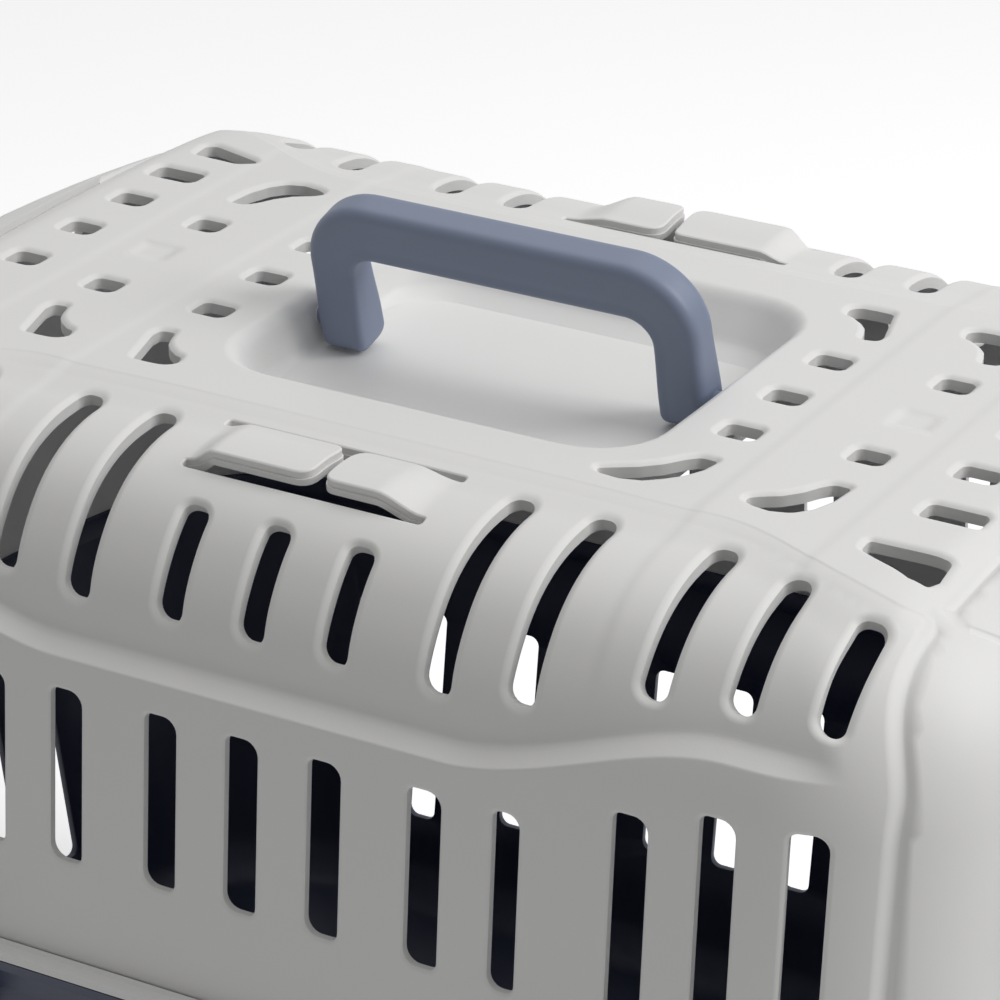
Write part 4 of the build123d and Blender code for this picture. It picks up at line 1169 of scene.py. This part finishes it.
# %% Flange
def add_flange(sheets, low, high):
    """Rows of points outward over the flange's underside, edge and top, joined outside the doorway."""
    plan, outward = plan_loop(PARTING)
    reach = flange_reach(plan)
    section = [
        (-WALL, low), (reach - 0.5, low), (reach, low + 0.4), (reach, high - 0.4), (reach - 0.5, high),
        (1.4, high), (0.2, high + 1.0),
    ]
    rows = []
    for push, z in section:
        push = push * np.ones(len(plan))
        rows.append(np.column_stack([plan + outward * push[:, None], np.full(len(plan), z)]))
    for one, other in zip(rows[:-1], rows[1:]):
        keep = ~in_doorway(one)
        runs = np.split(np.arange(len(one)), np.where(np.diff(keep.astype(int)) != 0)[0] + 1)
        for run in runs:
            after = (run[-1] + 1) % len(one)
            if keep[run[0]]:
                index = np.append(run, after) if after or keep[0] else run
                sheets.strip(one[index], other[index], False)


add_flange(shell, PARTING, PARTING + 3.0)
top_shell = shell.make("top_shell_moulding", shell_grey, "carrier")
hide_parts("top_shell")

# %% [markdown]
# ## Door frame and handle sockets
# Inside the doorway the shell carries half of the door's frame, and under the roof two blocks hold the
# handle's pegs. They are plain, exact shapes with bored holes, which the CAD model has already. So these
# faces are copied from the CAD shell, and only their sharp edges are rounded.

# %% Copies of plain shapes from the CAD shell
def soften(piece, width, segments=2):
    """Rounds the sharp edges of a CAD shape and shades it smoothly."""
    weld = piece.modifiers.new("weld", "WELD")
    weld.merge_threshold = 0.00001
    bevel = piece.modifiers.new("soft edge", "BEVEL")
    bevel.width = width
    bevel.segments = segments
    bevel.limit_method = "ANGLE"
    bevel.angle_limit = math.radians(40)
    bevel.harden_normals = True
    for face in piece.data.polygons:
        face.use_smooth = True


def copy_faces(node, name, wanted, finish, body):
    """A new piece from the faces of a CAD node whose middles satisfy a test, in millimetres."""
    source = nodes[node].data
    spots = np.array([tuple(vertex.co) for vertex in source.vertices]) / MM
    faces = [tuple(face.vertices) for face in source.polygons]
    used, faces = compact([face for face in faces if wanted(*spots[list(face)].mean(0))])
    mesh = bpy.data.meshes.new(name)
    mesh.from_pydata((spots[used] * MM).tolist(), [], faces)
    piece = add_piece(name, mesh, finish)
    soften(piece, 0.35 * MM)
    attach(piece, body)
    print(name, len(faces), "faces")
    return piece


def in_frame(x, y, z):
    """The frame round the doorway and the boss above it that holds the upper hinge peg."""
    boss = math.hypot(x - 234.0, y + 90.8) < 6.05 and z < 268.2 and z > 264.9
    return x > 209.9 and (boss or (abs(y) < 100.05 and z < 265.05))


def in_socket(x, y, z):
    """The two blocks under the roof that hold the pegs of the handle."""
    return 71.6 < abs(x) < 84 and abs(y) < 11.95 and 292 < z < 306.5


copy_faces("top_shell", "upper_door_frame", in_frame, shell_grey, "carrier")
copy_faces("top_shell", "handle_sockets", in_socket, shell_grey, "carrier")

# %% [markdown]
# ## The handle
# The handle is one solid moulding: a flat grip, two legs that thicken towards their round feet, and a short
# peg out of each foot. It is a loft: a rounded section is carried along the loop, from one foot to the other,
# between an outer and an inner line. The front and back of each leg are slightly hollow near the inner edge.

# %% Handle path
HANDLE_HALF, HANDLE_TALL, GRIP_TALL, LEG_WIDE, HALF_THICK = 67.2, 47.5, 18.5, 15.5, 6.5
OUTER_CORNER, INNER_CORNER, FOOT_HALF, FOOT_ROUND, PIVOT = 23.0, 8.5, 7.8, 4.6, 301.2
LEAN = math.radians(15)
PEG = ((HANDLE_HALF - 1.0, 3.5), (HANDLE_HALF + 7.5, 3.5), (HANDLE_HALF + 8.0, 3.0))   # reach and radius


def handle_stations():
    """Outer point, inner point and half thickness of each section, from one foot to the other."""
    inner_half, inner_top = HANDLE_HALF - LEG_WIDE, HANDLE_TALL - GRIP_TALL
    outer_z, inner_z = HANDLE_TALL - OUTER_CORNER, inner_top - INNER_CORNER
    outer_x, inner_x = HANDLE_HALF - OUTER_CORNER, inner_half - INNER_CORNER
    half = []
    for angle in np.linspace(math.pi / 2, 0.0, 10):
        z = FOOT_ROUND - FOOT_HALF - FOOT_ROUND * math.sin(angle)
        tuck = FOOT_ROUND * (1 - math.cos(angle))
        half.append(((HANDLE_HALF - 0.4 * tuck, z), (inner_half + 0.4 * tuck, z), FOOT_HALF - tuck))
    half.append(((HANDLE_HALF, -1.5), (inner_half, -1.5), FOOT_HALF))
    for share in np.linspace(0, 1, 16):
        thick = HALF_THICK + (FOOT_HALF - HALF_THICK) * (1 - smooth(0.0, 1.0, share))
        half.append(((HANDLE_HALF, outer_z * share), (inner_half, inner_z * share), thick))
    for angle in np.linspace(0, math.pi / 2, 19)[1:]:
        turn = np.array([math.cos(angle), math.sin(angle)])
        outer, inner = (outer_x, outer_z) + OUTER_CORNER * turn, (inner_x, inner_z) + INNER_CORNER * turn
        half.append((outer, inner, HALF_THICK))
    for share in np.linspace(1, 0, 14)[1:]:
        half.append(((outer_x * share, HANDLE_TALL), (inner_x * share, inner_top), HALF_THICK))
    other = [((-outer[0], outer[1]), (-inner[0], inner[1]), thick) for outer, inner, thick in half[-2::-1]]
    return half + other


# %% Handle sections and lean
def section_loop(outer, inner, thick, count=64):
    """Rounded section between an outer and an inner point of the loop, as points evenly spread round it."""
    outer, inner = np.array(outer), np.array(inner)
    width = np.linalg.norm(outer - inner) / 2
    widest = thick * 0.98 + 0.02
    radii = [min(radius, widest) for radius in (3.6, 2.2, 2.2, 3.6)]
    points = rounded(width, thick, radii, spacing=1e9)
    ring = np.concatenate([points, points[:1]])
    run = np.concatenate([[0], np.cumsum(np.linalg.norm(np.diff(ring, axis=0), axis=1))])
    even = np.linspace(0, run[-1], count, endpoint=False)
    a, b = np.interp(even, run, ring[:, 0]), np.interp(even, run, ring[:, 1])
    dent = 0.38 * np.exp(-(((a + width * 0.52) / 1.9) ** 2)) * smooth(3.0, 6.0, thick)
    b = b - np.sign(b) * dent * (np.abs(b) > thick - 0.6)
    middle, way = (outer + inner) / 2, (outer - inner) / (2 * width)
    return np.stack([middle[0] + way[0] * a, b, middle[1] + way[1] * a], -1)


def turned(directions):
    """Directions that lean with the handle, towards -Y."""
    x, y, z = np.moveaxis(directions, -1, 0)
    return np.stack([x, y * math.cos(LEAN) - z * math.sin(LEAN), y * math.sin(LEAN) + z * math.cos(LEAN)], -1)


def leant(points):
    """Points of the leaning handle, with its pegs at their height."""
    return turned(points) + (0, 0, PIVOT)


# %% Handle mesh
handle = Sheets()
rings = np.array([section_loop(*station) for station in handle_stations()[1:-1]])
ring_normals = grid_normals(rings)
if np.sum(ring_normals * (rings - rings.mean(1)[:, None])) < 0:
    ring_normals = -ring_normals
handle.add(leant(rings).reshape(-1, 3), turned(ring_normals).reshape(-1, 3), ring_faces(*rings.shape[:2]))
for foot in leant(rings[[0, -1]]):
    handle.cap(foot, turned(np.array([0, 0, -1.0])))
circle = np.linspace(0, 2 * math.pi, 29)[:-1]
spokes = np.stack([0 * circle, np.cos(circle), np.sin(circle)], -1)
for end in (-1, 1):
    rows = [leant(radius * spokes + (end * x, 0, 0)) for x, radius in PEG]
    for one, other in zip(rows[:-1], rows[1:]):
        handle.strip(one, other, True, turned(spokes))
carry_handle = handle.make("carry_handle", slate_blue, "handle")
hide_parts("handle")

# %% [markdown]
# ## The CAD pieces that are shown as they are
# The door, its bolts and the clips are plain shapes that the CAD model already has in full. A thin bevel
# gives their crisp edges the small radius of a real moulding, and each gets its finish.

# %% Dress the carried-over pieces
node_finish = {name: slate_blue for name in nodes if "clip" in name}
node_finish.update({"handle": slate_blue, "base_tub": tub_navy})
for name, piece in nodes.items():
    piece.data.materials.clear()
    piece.data.materials.append(node_finish.get(name, fitting_grey if name != "top_shell" else shell_grey))
    soften(piece, 0.3 * MM)
print("dressed:", sorted(nodes))

# %% [markdown]
# ## Floor, light and camera
# A product photograph on white: one large soft light high on the right, a broad one overhead, and a pale
# room all round. The floor and the room look white to the camera without adding light to the object.

# %% Floor and room
def floor_finish():
    """Matt white that glows a little for the camera alone."""
    finish = Graph(bpy.data.materials.new("floor_white"))
    matt = finish.node("ShaderNodeBsdfDiffuse", {"Color": (0.86, 0.86, 0.86, 1)})
    glow = finish.node("ShaderNodeEmission", {"Color": (1, 1, 1, 1), "Strength": 0.42})
    both = finish.node("ShaderNodeAddShader", {0: matt, 1: glow})
    return finish.close(finish.node("ShaderNodeMixShader", {0: finish.seen(), 1: matt, 2: both}))


def floor(reach, count):
    """Round floor far wider than any view of the carrier."""
    turns = [2 * math.pi * i / count for i in range(count)]
    mesh = bpy.data.meshes.new("floor")
    ring = [(reach * math.cos(turn), reach * math.sin(turn), 0) for turn in turns]
    mesh.from_pydata(ring, [], [tuple(range(count))])
    piece = add_piece("floor", mesh, floor_finish())


def room(strength):
    """World: white to the camera and a soft grey light to the object."""
    world = bpy.data.worlds.new("studio")
    bpy.context.scene.world = world
    studio = Graph(world)
    light = studio.node("ShaderNodeBackground", {"Strength": strength})
    shown = studio.node("ShaderNodeBackground", {"Strength": 1.0})
    pick = studio.node("ShaderNodeMixShader", {0: studio.seen(), 1: light, 2: shown})
    studio.close(pick, "ShaderNodeOutputWorld")


floor(12.0, 96)
room(0.245)

# %% Lights
def softbox(name, place, aim, width, height, power):
    """Large flat light that faces a point."""
    lamp = bpy.data.lights.new(name, "AREA")
    lamp.shape = "RECTANGLE"
    lamp.size = width
    lamp.size_y = height
    lamp.energy = power
    piece = bpy.data.objects.new(name, lamp)
    piece.location = place
    piece.rotation_euler = (Vector(aim) - Vector(place)).to_track_quat("-Z", "Y").to_euler()
    bpy.context.scene.collection.objects.link(piece)
    return piece


middle = (0, 0, 0.2)
softbox("key_light", (1.5, 0.45, 1.45), middle, 1.1, 1.1, 22)
softbox("top_light", (-0.2, 0.3, 2.2), middle, 2.2, 2.2, 18.5)

# %% Camera
camera_place = Vector((0.6135, -1.0735, 0.830))
azimuth, elevation = math.radians(30), math.radians(25)
view = bpy.data.cameras.new("camera")
view.lens = 159.5
view.sensor_width = 36.0
camera = bpy.data.objects.new("camera", view)
camera.location = camera_place
camera.rotation_euler = (math.pi / 2 - elevation, 0, azimuth)
bpy.context.scene.collection.objects.link(camera)
bpy.context.scene.camera = camera
bpy.context.scene.view_settings.view_transform = "Standard"
